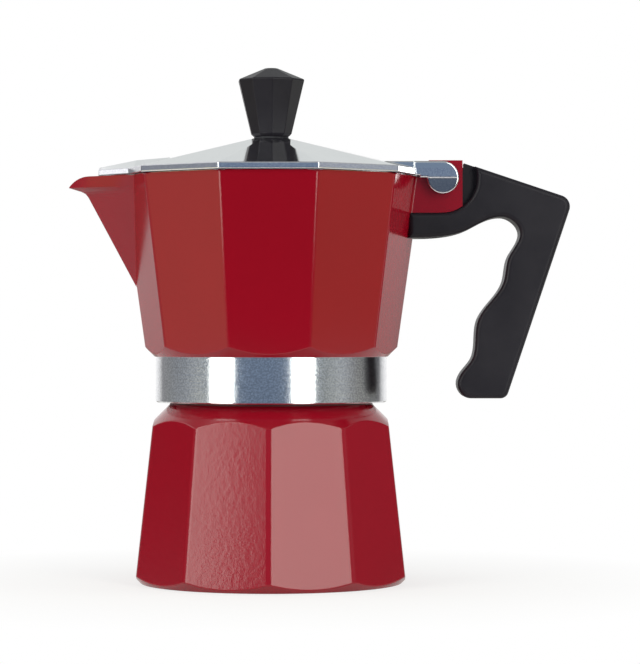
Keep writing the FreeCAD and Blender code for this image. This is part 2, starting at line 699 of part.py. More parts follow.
def ear(y_inner, y_outer):
    """One hinge ear: a level arm from the lug to a round end on the pin, eased on its outer face."""
    top_r = LUG_TOP_Z - PIN_Z
    root_x = LUG_END_X - EAR_ROOT
    pin = Vector(PIN_X, 0, PIN_Z)
    low = pin - Vector(0, 0, EAR_R)
    back = pin - Vector(EAR_R, 0, 0)
    front = pin + Vector(EAR_R, 0, 0)
    turn = front - Vector(top_r, 0, 0)
    crest = turn + Vector(0, 0, top_r)
    over = turn + Vector(1, 0, 1).normalize() * top_r
    outline = [
        crest,
        Vector(root_x, 0, LUG_TOP_Z),
        Vector(root_x, 0, LID_FOOT_Z),
        Vector(LUG_END_X, 0, LID_FOOT_Z),
        Vector(LUG_END_X, 0, PIN_Z),
        back,
    ]
    edges = [Part.makeLine(start, end) for start, end in zip(outline[:-1], outline[1:])]
    edges.append(Part.Arc(back, low, front).toShape())
    edges.append(Part.Arc(front, over, crest).toShape())
    face = Part.Face(Part.Wire(edges))
    face.translate(Vector(0, y_inner, 0))
    solid = face.extrude(Vector(0, y_outer - y_inner, 0))

    def is_outer_edge(edge):
        at_face = edge.BoundBox.YLength < 0.01 and abs(edge.CenterOfMass.y - y_outer) < 0.01
        return at_face and edge.CenterOfMass.x > LUG_END_X - 0.1

    lower = Part.makeBox(
        4 * EAR_R, 4 * EAR_THICK, 2 * EAR_R,
        Vector(PIN_X - 2 * EAR_R, y_outer - 2 * EAR_THICK, PIN_Z - 2 * EAR_R))
    arm = rounded(solid, EAR_ROUND, is_outer_edge).cut(lower)
    return arm.fuse(ear_tip(y_inner, y_outer)).removeSplitter()


def lid_underside_z():
    """Level of the flat spot inside the lid that the knob screw's washer bears on."""
    return LID_FOOT_Z + LID_SLOPE * (LID_R - LID_LIP - LID_SEAT_R)


def lid():
    """Shallow ten-sided pyramid with a rim, a gabled beak, a knob pad and a two-eared lug."""
    rim = facet_taper(LID_R, LID_FOOT_Z, LID_R, LID_EDGE_Z)
    roof = facet_taper(
        LID_R, LID_EDGE_Z, PYRAMID_TOP_R, LID_PEAK_Z - LID_SLOPE * PYRAMID_TOP_R)
    pad = Part.makeCylinder(LID_PAD_R, LID_PAD_Z - LID_EDGE_Z, Vector(0, 0, LID_EDGE_Z))
    trim = Part.makeCylinder(2 * LID_PAD_R, LID_PEAK_Z, Vector(0, 0, LID_PAD_Z))
    lug = Part.makeBox(
        LUG_END_X - LUG_START_X, 2 * LUG_HALF_W, LUG_TOP_Z - LID_FOOT_Z,
        Vector(LUG_START_X, -LUG_HALF_W, LID_FOOT_Z))
    solid = rim.fuse([roof, beak(0.0, LID_FOOT_Z), pad, lug]).cut(trim)
    back = Part.makeBox(20.0, 2 * EAR_OUT_Y, 20.0, Vector(LUG_END_X, -EAR_OUT_Y, LID_FOOT_Z - 5.0))
    solid = solid.cut(back)
    hollow = facet_taper(LID_R - LID_LIP, LID_FOOT_Z, LID_SEAT_R, lid_underside_z())
    lug_keep = Part.makeBox(
        20.0, 2 * EAR_OUT_Y, 20.0, Vector(LUG_END_X - LUG_WALL, -EAR_OUT_Y, LID_FOOT_Z))
    hollow = hollow.fuse(beak(BEAK_WALL, LID_FOOT_Z - OVER)).cut(lug_keep)
    solid = solid.cut(hollow)
    solid = solid.fuse([ear(-EAR_IN_Y, -EAR_OUT_Y), ear(EAR_IN_Y, EAR_OUT_Y)])
    pin_bore = cross_cylinder(PIN_R, PIN_X, PIN_Z, -EAR_OUT_Y + EAR_SKIN, EAR_OUT_Y + OVER)
    screw_bore = Part.makeCylinder(KNOB_SCREW_R + SCREW_PLAY, LID_PEAK_Z, Vector(0, 0, LID_FOOT_Z))
    return solid.cut([pin_bore, screw_bore]).removeSplitter()


def hinge_pin():
    """Plain steel pin, blind in the front ear and flush with the rear one."""
    return cross_cylinder(PIN_R, PIN_X, PIN_Z, -EAR_OUT_Y + EAR_SKIN, EAR_OUT_Y)


def knob():
    """Ten-sided knob with an eased foot that widens upwards to a low faceted crown."""
    foot = facet_taper(KNOB_FOOT_R, LID_PAD_Z, KNOB_NECK_R, KNOB_NECK_Z, KNOB_CLOCK)
    stem = facet_taper(KNOB_NECK_R, KNOB_NECK_Z, KNOB_RIM_R, KNOB_RIM_Z, KNOB_CLOCK)
    crown_top_z = KNOB_RIM_Z + KNOB_CROWN_SLOPE * (KNOB_RIM_R - KNOB_CROWN_TOP_R)
    crown = facet_taper(KNOB_RIM_R, KNOB_RIM_Z, KNOB_CROWN_TOP_R, crown_top_z, KNOB_CLOCK)
    body = stem.fuse([foot, crown]).removeSplitter()
    body = rounded(body, KNOB_ROUND, lambda edge: edge.CenterOfMass.z > KNOB_NECK_Z - OVER / 4)
    bush = Part.makeCylinder(INSERT_R, INSERT_LENGTH, Vector(0, 0, LID_PAD_Z))
    return body.cut(bush)


def knob_insert():
    """Knurled brass bush moulded into the knob, with a blind threaded hole."""
    bush = Part.makeCylinder(INSERT_R, INSERT_LENGTH, Vector(0, 0, LID_PAD_Z))
    return bush.cut(Part.makeCylinder(KNOB_SCREW_R, INSERT_LENGTH - 1.5, Vector(0, 0, LID_PAD_Z)))


def screw(shank_r, shank_length, head_r, head_length):
    """Slotted cheese-head screw on +Z, with the head's bearing face at the origin."""
    shank = Part.makeCylinder(shank_r, shank_length)
    head = Part.makeCylinder(head_r, head_length, Vector(0, 0, -head_length))
    head = rounded(head, head_length / 4, lambda edge: edge.BoundBox.ZMax < -head_length / 2)
    slot = Part.makeBox(
        4 * head_r, 1.0, head_length / 2, Vector(-2 * head_r, -0.5, -head_length - 0.01))
    return shank.fuse(head.cut(slot))


def washer(hole_r, rim_r, z):
    """Flat washer with its lower face at a height."""
    disc = Part.makeCylinder(rim_r, WASHER_THICK, Vector(0, 0, z))
    return disc.cut(Part.makeCylinder(hole_r, 4 * WASHER_THICK, Vector(0, 0, z - WASHER_THICK)))


def knob_washer():
    """Washer between the lid's inside and the knob screw's head."""
    return washer(KNOB_SCREW_R + SCREW_PLAY, KNOB_WASHER_R, lid_underside_z() - WASHER_THICK)


def knob_screw():
    """Screw that holds the knob, put in from inside the lid."""
    seat_z = lid_underside_z() - WASHER_THICK
    shank_end_z = LID_PAD_Z + 2 * INSERT_LENGTH / 3
    body = screw(KNOB_SCREW_R, shank_end_z - seat_z, KNOB_SCREW_HEAD_R, KNOB_SCREW_HEAD)
    body.translate(Vector(0, 0, seat_z))
    return body


def grip_point(down, width):
    """Point of the grip from its distance down the outer edge and its width from that edge."""
    tilt = math.radians(HANDLE_TILT)
    along = Vector(-math.sin(tilt), 0, -math.cos(tilt))
    across = Vector(-math.cos(tilt), 0, math.sin(tilt))
    return Vector(GRIP_ORIGIN[0], 0, GRIP_ORIGIN[1]) + along * down + across * width


def fillet_arc(before, corner, after, radius):
    """Rounded corner between two straight runs: where it starts, its middle and where it ends."""
    into = (before - corner).normalize()
    out = (after - corner).normalize()
    half = into.getAngle(out) / 2
    reach = radius / math.tan(half)
    centre = corner + (into + out).normalize() * (radius / math.sin(half))
    middle = centre + (corner - centre).normalize() * radius
    return corner + into * reach, middle, corner + out * reach


def handle_outline():
    """Closed side outline of the thick part: shoulder arc, top, outer edge, foot, wavy grip, arm."""
    tilt = math.radians(HANDLE_TILT)
    along = Vector(-math.sin(tilt), 0, -math.cos(tilt))
    corner = Vector(HANDLE_CORNER[0], 0, HANDLE_CORNER[1])
    pin = Vector(PIN_X, 0, PIN_Z)
    # The top edge falls away from the bracket at the handle's tilt, square to the outer edge
    back = Vector(-math.cos(tilt), 0, math.sin(tilt))
    offset = corner - pin
    reach = offset.dot(back)
    run = -reach - math.sqrt(reach * reach - offset.dot(offset) + SHOULDER_ARC_R ** 2)
    shoulder_top = corner + back * run
    shoulder_foot = pin + Vector(0, 0, -SHOULDER_ARC_R)
    shoulder_mid = pin + (shoulder_top + shoulder_foot - pin * 2).normalize() * SHOULDER_ARC_R
    heel = corner + along * ((corner.z - HANDLE_FOOT_Z) / math.cos(tilt))
    wave = [grip_point(down, width) for down, width in GRIP_WAVE]
    hook_end = Vector(wave[-1].x + HANDLE_HOOK_R, 0, HANDLE_FOOT_Z)
    hook_mid = Vector(
        wave[-1].x + 0.25 * HANDLE_HOOK_R, 0, HANDLE_FOOT_Z + 0.22 * (wave[-1].z - HANDLE_FOOT_Z))
    top_in, top_mid, top_out = fillet_arc(shoulder_top, corner, heel, HANDLE_CORNER_R)
    heel_in, heel_mid, heel_out = fillet_arc(corner, heel, hook_end, HANDLE_HEEL_R)
    sweep = math.radians(ARM_SWEEP_ANGLE)
    points = [
        Vector(ARM_START_X, 0, ARM_FOOT_Z),
        Vector(ARM_SWEEP_POINT[0], 0, ARM_SWEEP_POINT[1]),
        Vector(FINGER_ARC_TOP[0], 0, FINGER_ARC_TOP[1]),
        Vector(FINGER_ARC_SIDE[0], 0, FINGER_ARC_SIDE[1]),
    ] + wave
    tangents = [
        Vector(1, 0, 0),
        Vector(math.cos(sweep), 0, math.sin(sweep)),
        Vector(1, 0, 0),
        Vector(0, 0, -1),
    ] + [along] * len(wave)
    inner = Part.BSplineCurve()
    inner.interpolate(Points=points, Tangents=tangents, TangentFlags=[True] * len(points))
    hook = Part.BSplineCurve()
    hook.interpolate(
        Points=[wave[-1], hook_mid, hook_end],
        Tangents=[along, Vector(1, 0, -1), Vector(1, 0, 0)], TangentFlags=[True, False, True])
    arm_top = Vector(ARM_START_X, 0, shoulder_foot.z)
    return Part.Wire([
        inner.toShape(),
        hook.toShape(),
        Part.makeLine(hook_end, heel_out),
        Part.Arc(heel_out, heel_mid, heel_in).toShape(),
        Part.makeLine(heel_in, top_out),
        Part.Arc(top_out, top_mid, top_in).toShape(),
        Part.makeLine(top_in, shoulder_top),
        Part.Arc(shoulder_top, shoulder_mid, shoulder_foot).toShape(),
        Part.makeLine(shoulder_foot, arm_top),
        Part.makeLine(arm_top, points[0]),
    ])


def handle():
    """Moulded handle: thick grip and arm, and a thin tongue that enters the bracket's fork."""
    thick = plate(handle_outline(), HANDLE_HALF_W)

    def face_edge(edge):
        middle = edge.CenterOfMass
        return abs(abs(middle.y) - HANDLE_HALF_W) < 1e-6

    thick = rounded(thick, HANDLE_ROUND, face_edge)
    fall = math.tan(math.radians(HANDLE_TILT))
    step_z = HANDLE_CORNER[1] + fall * (HANDLE_CORNER[0] - TONGUE_STEP_X)
    end_x = PIN_X + SHOULDER_ARC_R + TONGUE_ROOT
    foot_z = PIN_Z - SHOULDER_ARC_R + TONGUE_LIFT
    tongue = plate(side_polygon([
        (TONGUE_START_X, foot_z),
        (end_x, foot_z),
        (end_x, step_z - fall * (end_x - TONGUE_STEP_X)),
        (TONGUE_STEP_X, step_z),
        (TONGUE_STEP_X, step_z - TONGUE_STEP),
        (TONGUE_START_X, step_z - TONGUE_STEP),
    ]), TONGUE_HALF_W)
    solid = thick.fuse(tongue)
    pot = facet_taper(
        collector_corner_r(SKIRT_TOP_Z), SKIRT_TOP_Z, COLLECTOR_RIM_R, COLLECTOR_RIM_Z)
    shank_room = Part.makeCylinder(
        HANDLE_SCREW_R + SCREW_PLAY, HANDLE_SCREW_TOP_Z - ARM_FOOT_Z + OVER,
        Vector(HANDLE_SCREW_X, 0, ARM_FOOT_Z - OVER))
    head_room = Part.makeCylinder(
        HANDLE_SCREW_HEAD_R + SCREW_PLAY, HANDLE_BORE_DEPTH + OVER,
        Vector(HANDLE_SCREW_X, 0, ARM_FOOT_Z - OVER))
    return solid.cut([pot, shank_room, head_room])


def handle_screw():
    """Screw from below through the handle's arm into the bracket."""
    seat_z = ARM_FOOT_Z + HANDLE_BORE_DEPTH - WASHER_THICK
    body = screw(HANDLE_SCREW_R, HANDLE_SCREW_TOP_Z - seat_z, HANDLE_SCREW_HEAD_R, HANDLE_SCREW_HEAD)
    body.translate(Vector(HANDLE_SCREW_X, 0, seat_z))
    return body


def handle_washer():
    """Washer between the handle screw's head and the handle."""
    seat_z = ARM_FOOT_Z + HANDLE_BORE_DEPTH
    disc = washer(HANDLE_SCREW_R, HANDLE_SCREW_HEAD_R, seat_z - WASHER_THICK)
    disc.translate(Vector(HANDLE_SCREW_X, 0, 0))
    return disc


def valve_body():
    """Hexagonal brass valve with a screwed shank, an inlet, a seat and a spring chamber."""
    corner_r = VALVE_HEX / 2 / math.cos(math.pi / 6)
    corners = [wheel_point(corner_r, 60.0 * i, VALVE_HEX_FACE) for i in range(7)]
    hexagon = Part.Face(Part.makePolygon(corners)).extrude(Vector(0, 0, VALVE_HEX_LENGTH))
    nose = valve_cylinder(VALVE_NOSE_R, VALVE_HEX_FACE, VALVE_NOSE_END)
    nose = rounded(nose, VALVE_NOSE_ROUND, lambda edge: edge.CenterOfMass.z > VALVE_NOSE_END - 0.1)
    shank = valve_cylinder(VALVE_SHANK_R, VALVE_SHANK_END, VALVE_HEX_FACE)
    inlet = valve_cylinder(VALVE_INLET_R, VALVE_SHANK_END - OVER, VALVE_SEAT + OVER)
    chamber = valve_cylinder(VALVE_CHAMBER_R, VALVE_SEAT, VALVE_NOSE_END + OVER)
    return valve_place(hexagon.fuse([nose, shank]).cut(inlet).cut(chamber))


def valve_washer():
    """Sealing washer between the valve's hexagon and the pad."""
    ring = valve_cylinder(VALVE_HEX / 2 + VALVE_WASHER_LAP, VALVE_PAD_FACE, VALVE_HEX_FACE)
    hole = valve_cylinder(VALVE_SHANK_R, VALVE_PAD_FACE - OVER, VALVE_HEX_FACE + OVER)
    return valve_place(ring.cut(hole))


def valve_poppet():
    """Disc that closes the inlet, with a stem that shows past the cap."""
    disc = valve_cylinder(POPPET_DISC_R, VALVE_SEAT, VALVE_SEAT + POPPET_DISC)
    stem = valve_cylinder(POPPET_STEM_R, VALVE_SEAT, POPPET_STEM_END)
    return valve_place(disc.fuse(stem))


def valve_cap():
    """Plug that backs the spring and guides the stem."""
    plug = valve_cylinder(VALVE_CHAMBER_R, VALVE_NOSE_END - CAP_LENGTH, VALVE_NOSE_END)
    hole = valve_cylinder(CAP_HOLE_R, VALVE_NOSE_END - 2 * CAP_LENGTH, VALVE_NOSE_END + OVER)
    return valve_place(plug.cut(hole))


def tangent_arc(start, tangent, end):
    """Arc that leaves start along a tangent and reaches end."""
    chord = end - start
    along = Vector(chord).normalize()
    bulge = tangent - along * tangent.dot(along)
    lean = tangent.getAngle(chord)
    middle = start + chord * 0.5 + bulge.normalize() * (chord.Length / 2 * math.tan(lean / 2))
    return Part.Arc(start, middle, end).toShape()


def biarc(start, start_dir, end, end_dir):
    """Two tangent arcs that join two points along given directions."""
    gap = end - start
    pair = start_dir + end_dir
    bend = 2 * (1 - start_dir.dot(end_dir))
    lean = gap.dot(pair)
    reach = (math.sqrt(lean * lean + bend * gap.dot(gap)) - lean) / bend
    joint = (start + start_dir * reach + end - end_dir * reach) * 0.5
    first = tangent_arc(start, start_dir, joint)
    second = tangent_arc(end, end_dir * -1, joint)
    return [first, second]


def valve_spring():
    """Compression spring between the poppet's disc and the cap, one unbroken wire."""
    seat = VALVE_SEAT + POPPET_DISC + SPRING_WIRE_R + SPRING_PLAY
    rise = VALVE_NOSE_END - CAP_LENGTH - SPRING_WIRE_R - SPRING_PLAY - seat
    steps = 4 * SPRING_TURNS
    slope = rise / (2 * math.pi * SPRING_TURNS)

    def station(i):
        angle = 360.0 * SPRING_TURNS * i / steps
        spot = wheel_point(SPRING_R, angle, seat + rise * i / steps)
        heading = wheel_point(SPRING_R, angle + 90.0, slope)
        return spot, heading.normalize()

    edges = []
    for i in range(steps):
        edges += biarc(*station(i), *station(i + 1))
    path = Part.Wire(edges)
    spot, heading = station(0)
    section = Part.Wire(Part.makeCircle(SPRING_WIRE_R, spot, heading))
    wire = path.makePipeShell([section], True, False)
    pitch = rise / SPRING_TURNS
    print("spring least gap between turns: %.2f mm" % (pitch - 2 * SPRING_WIRE_R))
    return valve_place(wire)


PIECES = (
    boiler,
    funnel_basket,
    funnel_screen,
    funnel_tube,
    gasket,
    filter_plate,
    collector,
    lid,
    hinge_pin,
    knob,
    knob_insert,
    knob_screw,
    knob_washer,
    handle,
    handle_screw,
    handle_washer,
    valve_body,
    valve_washer,
    valve_poppet,
    valve_cap,
    valve_spring,
)


def main():
    """Build every piece and write each to its own file, named after the piece."""
    os.makedirs("parts", exist_ok=True)
    for piece in PIECES:
        shape = piece()
        name = piece.__name__
        print("%-15s valid %s, solids %d, volume %.0f" % (
            name, shape.isValid(), len(shape.Solids), shape.Volume))
        shape.exportStep("parts/%s.step" % name)


main()
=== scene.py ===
"""Finishes, fine pieces, light and camera for a three-cup stovetop moka pot.

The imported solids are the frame. This file gives every solid its finish, adds the fine pieces that
the solids leave out, such as screw threads, and sets up a small photo studio. Everything is in
metres. The pot stands on Z = 0 with its axis on Z, the handle points to +X and the camera looks
along +Y.
"""
import logging
import math
from dataclasses import dataclass
from enum import Enum
from typing import Union

import bpy
import numpy as np
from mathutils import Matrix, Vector


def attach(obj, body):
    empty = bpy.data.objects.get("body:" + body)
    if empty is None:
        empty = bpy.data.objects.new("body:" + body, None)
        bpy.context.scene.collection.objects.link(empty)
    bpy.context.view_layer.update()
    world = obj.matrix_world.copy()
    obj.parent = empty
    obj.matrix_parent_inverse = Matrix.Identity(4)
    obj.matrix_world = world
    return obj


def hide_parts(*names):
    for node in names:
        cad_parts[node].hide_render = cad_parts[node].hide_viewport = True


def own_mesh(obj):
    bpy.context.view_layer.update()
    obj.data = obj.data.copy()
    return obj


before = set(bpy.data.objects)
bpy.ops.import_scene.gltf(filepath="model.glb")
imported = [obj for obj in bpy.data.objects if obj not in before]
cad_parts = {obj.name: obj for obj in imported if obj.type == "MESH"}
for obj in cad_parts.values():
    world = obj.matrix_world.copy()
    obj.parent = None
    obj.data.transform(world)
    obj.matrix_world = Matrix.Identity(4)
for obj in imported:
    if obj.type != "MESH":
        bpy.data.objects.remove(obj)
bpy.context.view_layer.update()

LOG = logging.getLogger("moka_pot")

Socket = bpy.types.NodeSocket
Material = bpy.types.Material
Colour = tuple[float, float, float, float]
Feed = Union[float, tuple, Socket]

SIDES = 10
FACET_ANGLE = 2.0 * math.pi / SIDES
FACET_COS = math.cos(math.pi / SIDES)
TONE_LOW = 0.3
TONE_HIGH = 0.7
EDGE_SAMPLES = 8

SPUN: Colour = (0.80, 0.80, 0.81, 1.0)
DULL_SPUN: Colour = (0.66, 0.66, 0.68, 1.0)
PLATED: Colour = (0.62, 0.62, 0.63, 1.0)
DULL_PLATED: Colour = (0.50, 0.50, 0.52, 1.0)
BRASS: Colour = (0.73, 0.50, 0.21, 1.0)
DULL_BRASS: Colour = (0.60, 0.39, 0.16, 1.0)


class Slot(Enum):
    """Material slots of the record that new pieces take their finish from."""

    BARE = "spun_aluminium"
    STEEL = "steel"
    RUBBER = "rubber"


class Effect(Enum):
    """Shader groups that several finishes share."""

    PEEL = "coat_ripple"
    TURNED = "turning_marks"
    GRAIN = "fine_grain"
    POLAR = "facet_polar"


class NodeSheet:
    """Lays out shader nodes in one node tree."""

    def __init__(self, tree: bpy.types.NodeTree) -> None:
        """Keep the tree that nodes are added to."""
        self.tree = tree

    def feed(self, socket: Socket, value: Feed) -> None:
        """Link a socket to another one, or set its value.

        Args:
            socket: the input to fill.
            value: an output socket to link, or a plain value.
        """
        if isinstance(value, Socket):
            self.tree.links.new(value, socket)
        else:
            socket.default_value = value

    def add(self, kind: str, **inputs: Feed) -> bpy.types.Node:
        """Add a node and fill its inputs.

        Args:
            kind: node type without its ShaderNode prefix.
            inputs: values or sockets by input name, with underscores for spaces.

        Returns:
            The new node.
        """
        node = self.tree.nodes.new("ShaderNode" + kind)
        for name, value in inputs.items():
            self.feed(node.inputs[name.replace("_", " ")], value)
        return node

    def math(self, operation: str, *values: Feed) -> Socket:
        """Add one Math node.

        Args:
            operation: Blender's name of the operation.
            values: its operands, sockets or numbers.

        Returns:
            The result socket.
        """
        node = self.tree.nodes.new("ShaderNodeMath")
        node.operation = operation
        for socket, value in zip(node.inputs, values):
            self.feed(socket, value)
        return node.outputs[0]

    def vector(self, operation: str, *values: Feed) -> Socket:
        """Add one Vector Math node.

        Args:
            operation: Blender's name of the operation.
            values: its operands, sockets or vectors.

        Returns:
            The result socket: a number for a dot product or a length, and else a vector.
        """
        node = self.tree.nodes.new("ShaderNodeVectorMath")
        node.operation = operation
        for socket, value in zip(node.inputs, values):
            self.feed(socket, value)
        return node.outputs["Value" if operation in ("DOT_PRODUCT", "LENGTH") else "Vector"]

    def mix(self, share: Feed, first: Feed, second: Feed) -> Socket:
        """Mix two colours.

        Args:
            share: part of the second colour.
            first: colour at share 0.
            second: colour at share 1.

        Returns:
            The mixed colour's socket.
        """
        node = self.tree.nodes.new("ShaderNodeMix")
        node.data_type = "RGBA"
        self.feed(node.inputs[0], share)
        self.feed(node.inputs[6], first)
        self.feed(node.inputs[7], second)
        return node.outputs[2]

    def blend(self, share: Feed, first: Feed, second: Feed) -> Socket:
        """Mix two numbers.

        Args:
            share: part of the second number.
            first: number at share 0.
            second: number at share 1.

        Returns:
            The mixed number's socket.
        """
        node = self.tree.nodes.new("ShaderNodeMix")
        self.feed(node.inputs[0], share)
        self.feed(node.inputs[2], first)
        self.feed(node.inputs[3], second)
        return node.outputs[0]

    def span(self, value: Feed, low: float, high: float, to_low: float, to_high: float) -> Socket:
        """Carry a number from one range to another and hold it at the ends.

        Args:
            value: the number to carry.
            low: start of its range.
            high: end of its range.
            to_low: result at the start.
            to_high: result at the end.

        Returns:
            The result socket.
        """
        node = self.add("MapRange", Value=value)
        node.inputs["From Min"].default_value = low
        node.inputs["From Max"].default_value = high
        node.inputs["To Min"].default_value = to_low
        node.inputs["To Max"].default_value = to_high
        return node.outputs[0]

    def vary(self, tone: Feed, middle: float, least: float, most: float) -> Socket:
        """Vary a number with the tone of a noise.

        Args:
            tone: the noise.
            middle: the number.
            least: its factor where the noise is low.
            most: its factor where the noise is high.

        Returns:
            The varied number's socket.
        """
        return self.span(tone, TONE_LOW, TONE_HIGH, middle * least, middle * most)

    def noise(self, vector: Feed, scale: Feed, detail: float, roughness: float = 0.5) -> Socket:
        """Add one noise texture.

        Args:
            vector: where it is read.
            scale: its spots per metre.
            detail: number of finer octaves.
            roughness: share of each finer octave.

        Returns:
            The noise's socket.
        """
        node = self.add("TexNoise", Vector=vector, Scale=scale, Detail=detail, Roughness=roughness)
        return node.outputs[0]

    def ramp(self, value: Feed, stops: tuple[tuple[float, Colour], ...]) -> Socket:
        """Turn a number into a colour.

        Args:
            value: the number, 0 to 1.
            stops: positions with their colours, in order.

        Returns:
            The colour socket.
        """
        node = self.add("ValToRGB", Fac=value)
        ladder = node.color_ramp.elements
        while len(ladder) < len(stops):
            ladder.new(1.0)
        for rung, (position, colour) in zip(ladder, stops):
            rung.position = position
            rung.color = colour
        return node.outputs[0]

    def place(self) -> Socket:
        """Give the Object coordinates."""
        return self.add("TexCoord").outputs["Object"]

    def bump(
        self, shader: bpy.types.Node, height: Feed, strength: float, distance: float,
        worn: float = 0.0,
    ) -> None:
        """Give a shader the normal of a height.

        Args:
            shader: the shader.
            height: the height map.
            strength: share of the effect.
            distance: height in metres of a full step.
            worn: radius in metres to which sharp edges are polished round.
        """
        node = self.add("Bump", Height=height, Strength=strength, Distance=distance)
        if worn:
            edges = self.add("Bevel", Radius=worn)
            edges.samples = EDGE_SAMPLES
            self.feed(node.inputs["Normal"], edges.outputs["Normal"])
        self.feed(shader.inputs["Normal"], node.outputs["Normal"])


class EffectShelf:
    """Builds each shared shader group once and places it in materials."""

    FINE_RIPPLE = 3.1
    FINE_RIPPLE_SHARE = 0.25
    COAT_PATCH = 0.05
    SPECK_SCALE = 1900.0
    SPECK_LOW = 0.36
    SPECK_HIGH = 0.64
    GRAIN_PATCH = 0.04

    def __init__(self) -> None:
        """Build every group."""
        self.groups = {
            Effect.PEEL: self._peel(),
            Effect.TURNED: self._turned(),
            Effect.GRAIN: self._grain(),
            Effect.POLAR: self._polar(),
        }

    def use(self, sheet: NodeSheet, effect: Effect, **inputs: Feed) -> bpy.types.Node:
        """Place a group in a material.

        Args:
            sheet: the material's nodes.
            effect: which group.
            inputs: values or sockets by input name.

        Returns:
            The group node.
        """
        node = sheet.tree.nodes.new("ShaderNodeGroup")
        node.node_tree = self.groups[effect]
        for name, value in inputs.items():
            sheet.feed(node.inputs[name.replace("_", " ")], value)
        return node

    @staticmethod
    def _open(
        effect: Effect, inputs: tuple[str, ...], outputs: tuple[str, ...]
    ) -> tuple[NodeSheet, bpy.types.Node, bpy.types.Node]:
        """Start a group with named sockets, which all carry numbers apart from Vector.

        Args:
            effect: which group it is.
            inputs: names of its inputs.
            outputs: names of its outputs.

        Returns:
            The group's sheet, its input node and its output node.
        """
        tree = bpy.data.node_groups.new(effect.value, "ShaderNodeTree")
        for side, names in (("INPUT", inputs), ("OUTPUT", outputs)):
            for name in names:
                kind = "NodeSocketVector" if name == "Vector" else "NodeSocketFloat"
                tree.interface.new_socket(name=name, in_out=side, socket_type=kind)
        return NodeSheet(tree), tree.nodes.new("NodeGroupInput"), tree.nodes.new("NodeGroupOutput")

    def _peel(self) -> bpy.types.NodeTree:
        """Orange-peel ripple of a sprayed coat: two octaves of noise, one three times finer."""
        sheet, source, result = self._open(
            Effect.PEEL, ("Vector", "Scale"), ("Height", "Tone"))
        vector, scale = source.outputs["Vector"], source.outputs["Scale"]
        coarse = sheet.noise(vector, scale, detail=1.0)
        fine = sheet.noise(vector, sheet.math("MULTIPLY", scale, self.FINE_RIPPLE), detail=0.0)
        tone = sheet.noise(vector, sheet.math("MULTIPLY", scale, self.COAT_PATCH), detail=2.0)
        sheet.feed(result.inputs["Height"], sheet.blend(self.FINE_RIPPLE_SHARE, coarse, fine))
        sheet.feed(result.inputs["Tone"], tone)
        return sheet.tree

    def _turned(self) -> bpy.types.NodeTree:
        """Lathe marks: noise drawn out along the cut, so it changes only with the tool's travel."""
        sheet, source, result = self._open(
            Effect.TURNED, ("Travel", "Vector", "Pitch", "Speckle"), ("Height", "Tone", "Speck"))
        steps = sheet.math("DIVIDE", source.outputs["Travel"], source.outputs["Pitch"])
        lines = sheet.add("TexNoise", Scale=1.0, Detail=3.0, Roughness=0.7)
        lines.noise_dimensions = "1D"
        sheet.feed(lines.inputs["W"], steps)
        patchy = sheet.noise(source.outputs["Vector"], self.SPECK_SCALE, detail=1.0)
        height = sheet.blend(source.outputs["Speckle"], lines.outputs[0], patchy)
        speck = sheet.span(patchy, self.SPECK_LOW, self.SPECK_HIGH, 0.0, 1.0)
        sheet.feed(result.inputs["Height"], height)
        sheet.feed(result.inputs["Tone"], lines.outputs[0])
        sheet.feed(result.inputs["Speck"], speck)
        return sheet.tree

    def _grain(self) -> bpy.types.NodeTree:
        """Fine grain of a moulded or polished skin, with a slower tone for uneven gloss."""
        sheet, source, result = self._open(
            Effect.GRAIN, ("Vector", "Scale"), ("Height", "Tone"))
        vector, scale = source.outputs["Vector"], source.outputs["Scale"]
        slow = sheet.math("MULTIPLY", scale, self.GRAIN_PATCH)
        sheet.feed(result.inputs["Height"], sheet.noise(vector, scale, detail=3.0))
        sheet.feed(result.inputs["Tone"], sheet.noise(vector, slow, detail=4.0, roughness=0.6))
        return sheet.tree

    def _polar(self) -> bpy.types.NodeTree:
        """Radius, height and facet distance of a point.

        The facet distance is the radius times the cosine of the angle from the middle of the
        nearest facet.
        """
        sheet, source, result = self._open(
            Effect.POLAR, ("Vector", "Clock"), ("Radius", "Height", "Facet"))
        parts = sheet.add("SeparateXYZ", Vector=source.outputs["Vector"])
        x, y, z = parts.outputs
        squares = sheet.math("ADD", sheet.math("MULTIPLY", x, x), sheet.math("MULTIPLY", y, y))
        radius = sheet.math("SQRT", squares)
        angle = sheet.math("SUBTRACT", sheet.math("ARCTAN2", y, x), source.outputs["Clock"])
        off_middle = sheet.math("WRAP", angle, FACET_ANGLE / 2.0, -FACET_ANGLE / 2.0)
        facet = sheet.math("MULTIPLY", radius, sheet.math("COSINE", off_middle))
        sheet.feed(result.inputs["Radius"], radius)
        sheet.feed(result.inputs["Height"], z)
        sheet.feed(result.inputs["Facet"], facet)
        return sheet.tree


def new_material(
    name: str, kind: str = "BsdfPrincipled"
) -> tuple[Material, NodeSheet, bpy.types.Node]:
    """Make an empty material with its shader.

    Args:
        name: the material's name.
        kind: type of the shader, without its ShaderNode prefix.

    Returns:
        The material, its sheet and its shader.
    """
    material = bpy.data.materials.new(name)
    material.use_nodes = True
    sheet = NodeSheet(material.node_tree)
    material.node_tree.nodes.clear()
    shader = sheet.add(kind)
    out = sheet.add("OutputMaterial")
    sheet.feed(out.inputs["Surface"], shader.outputs[0])
    return material, sheet, shader


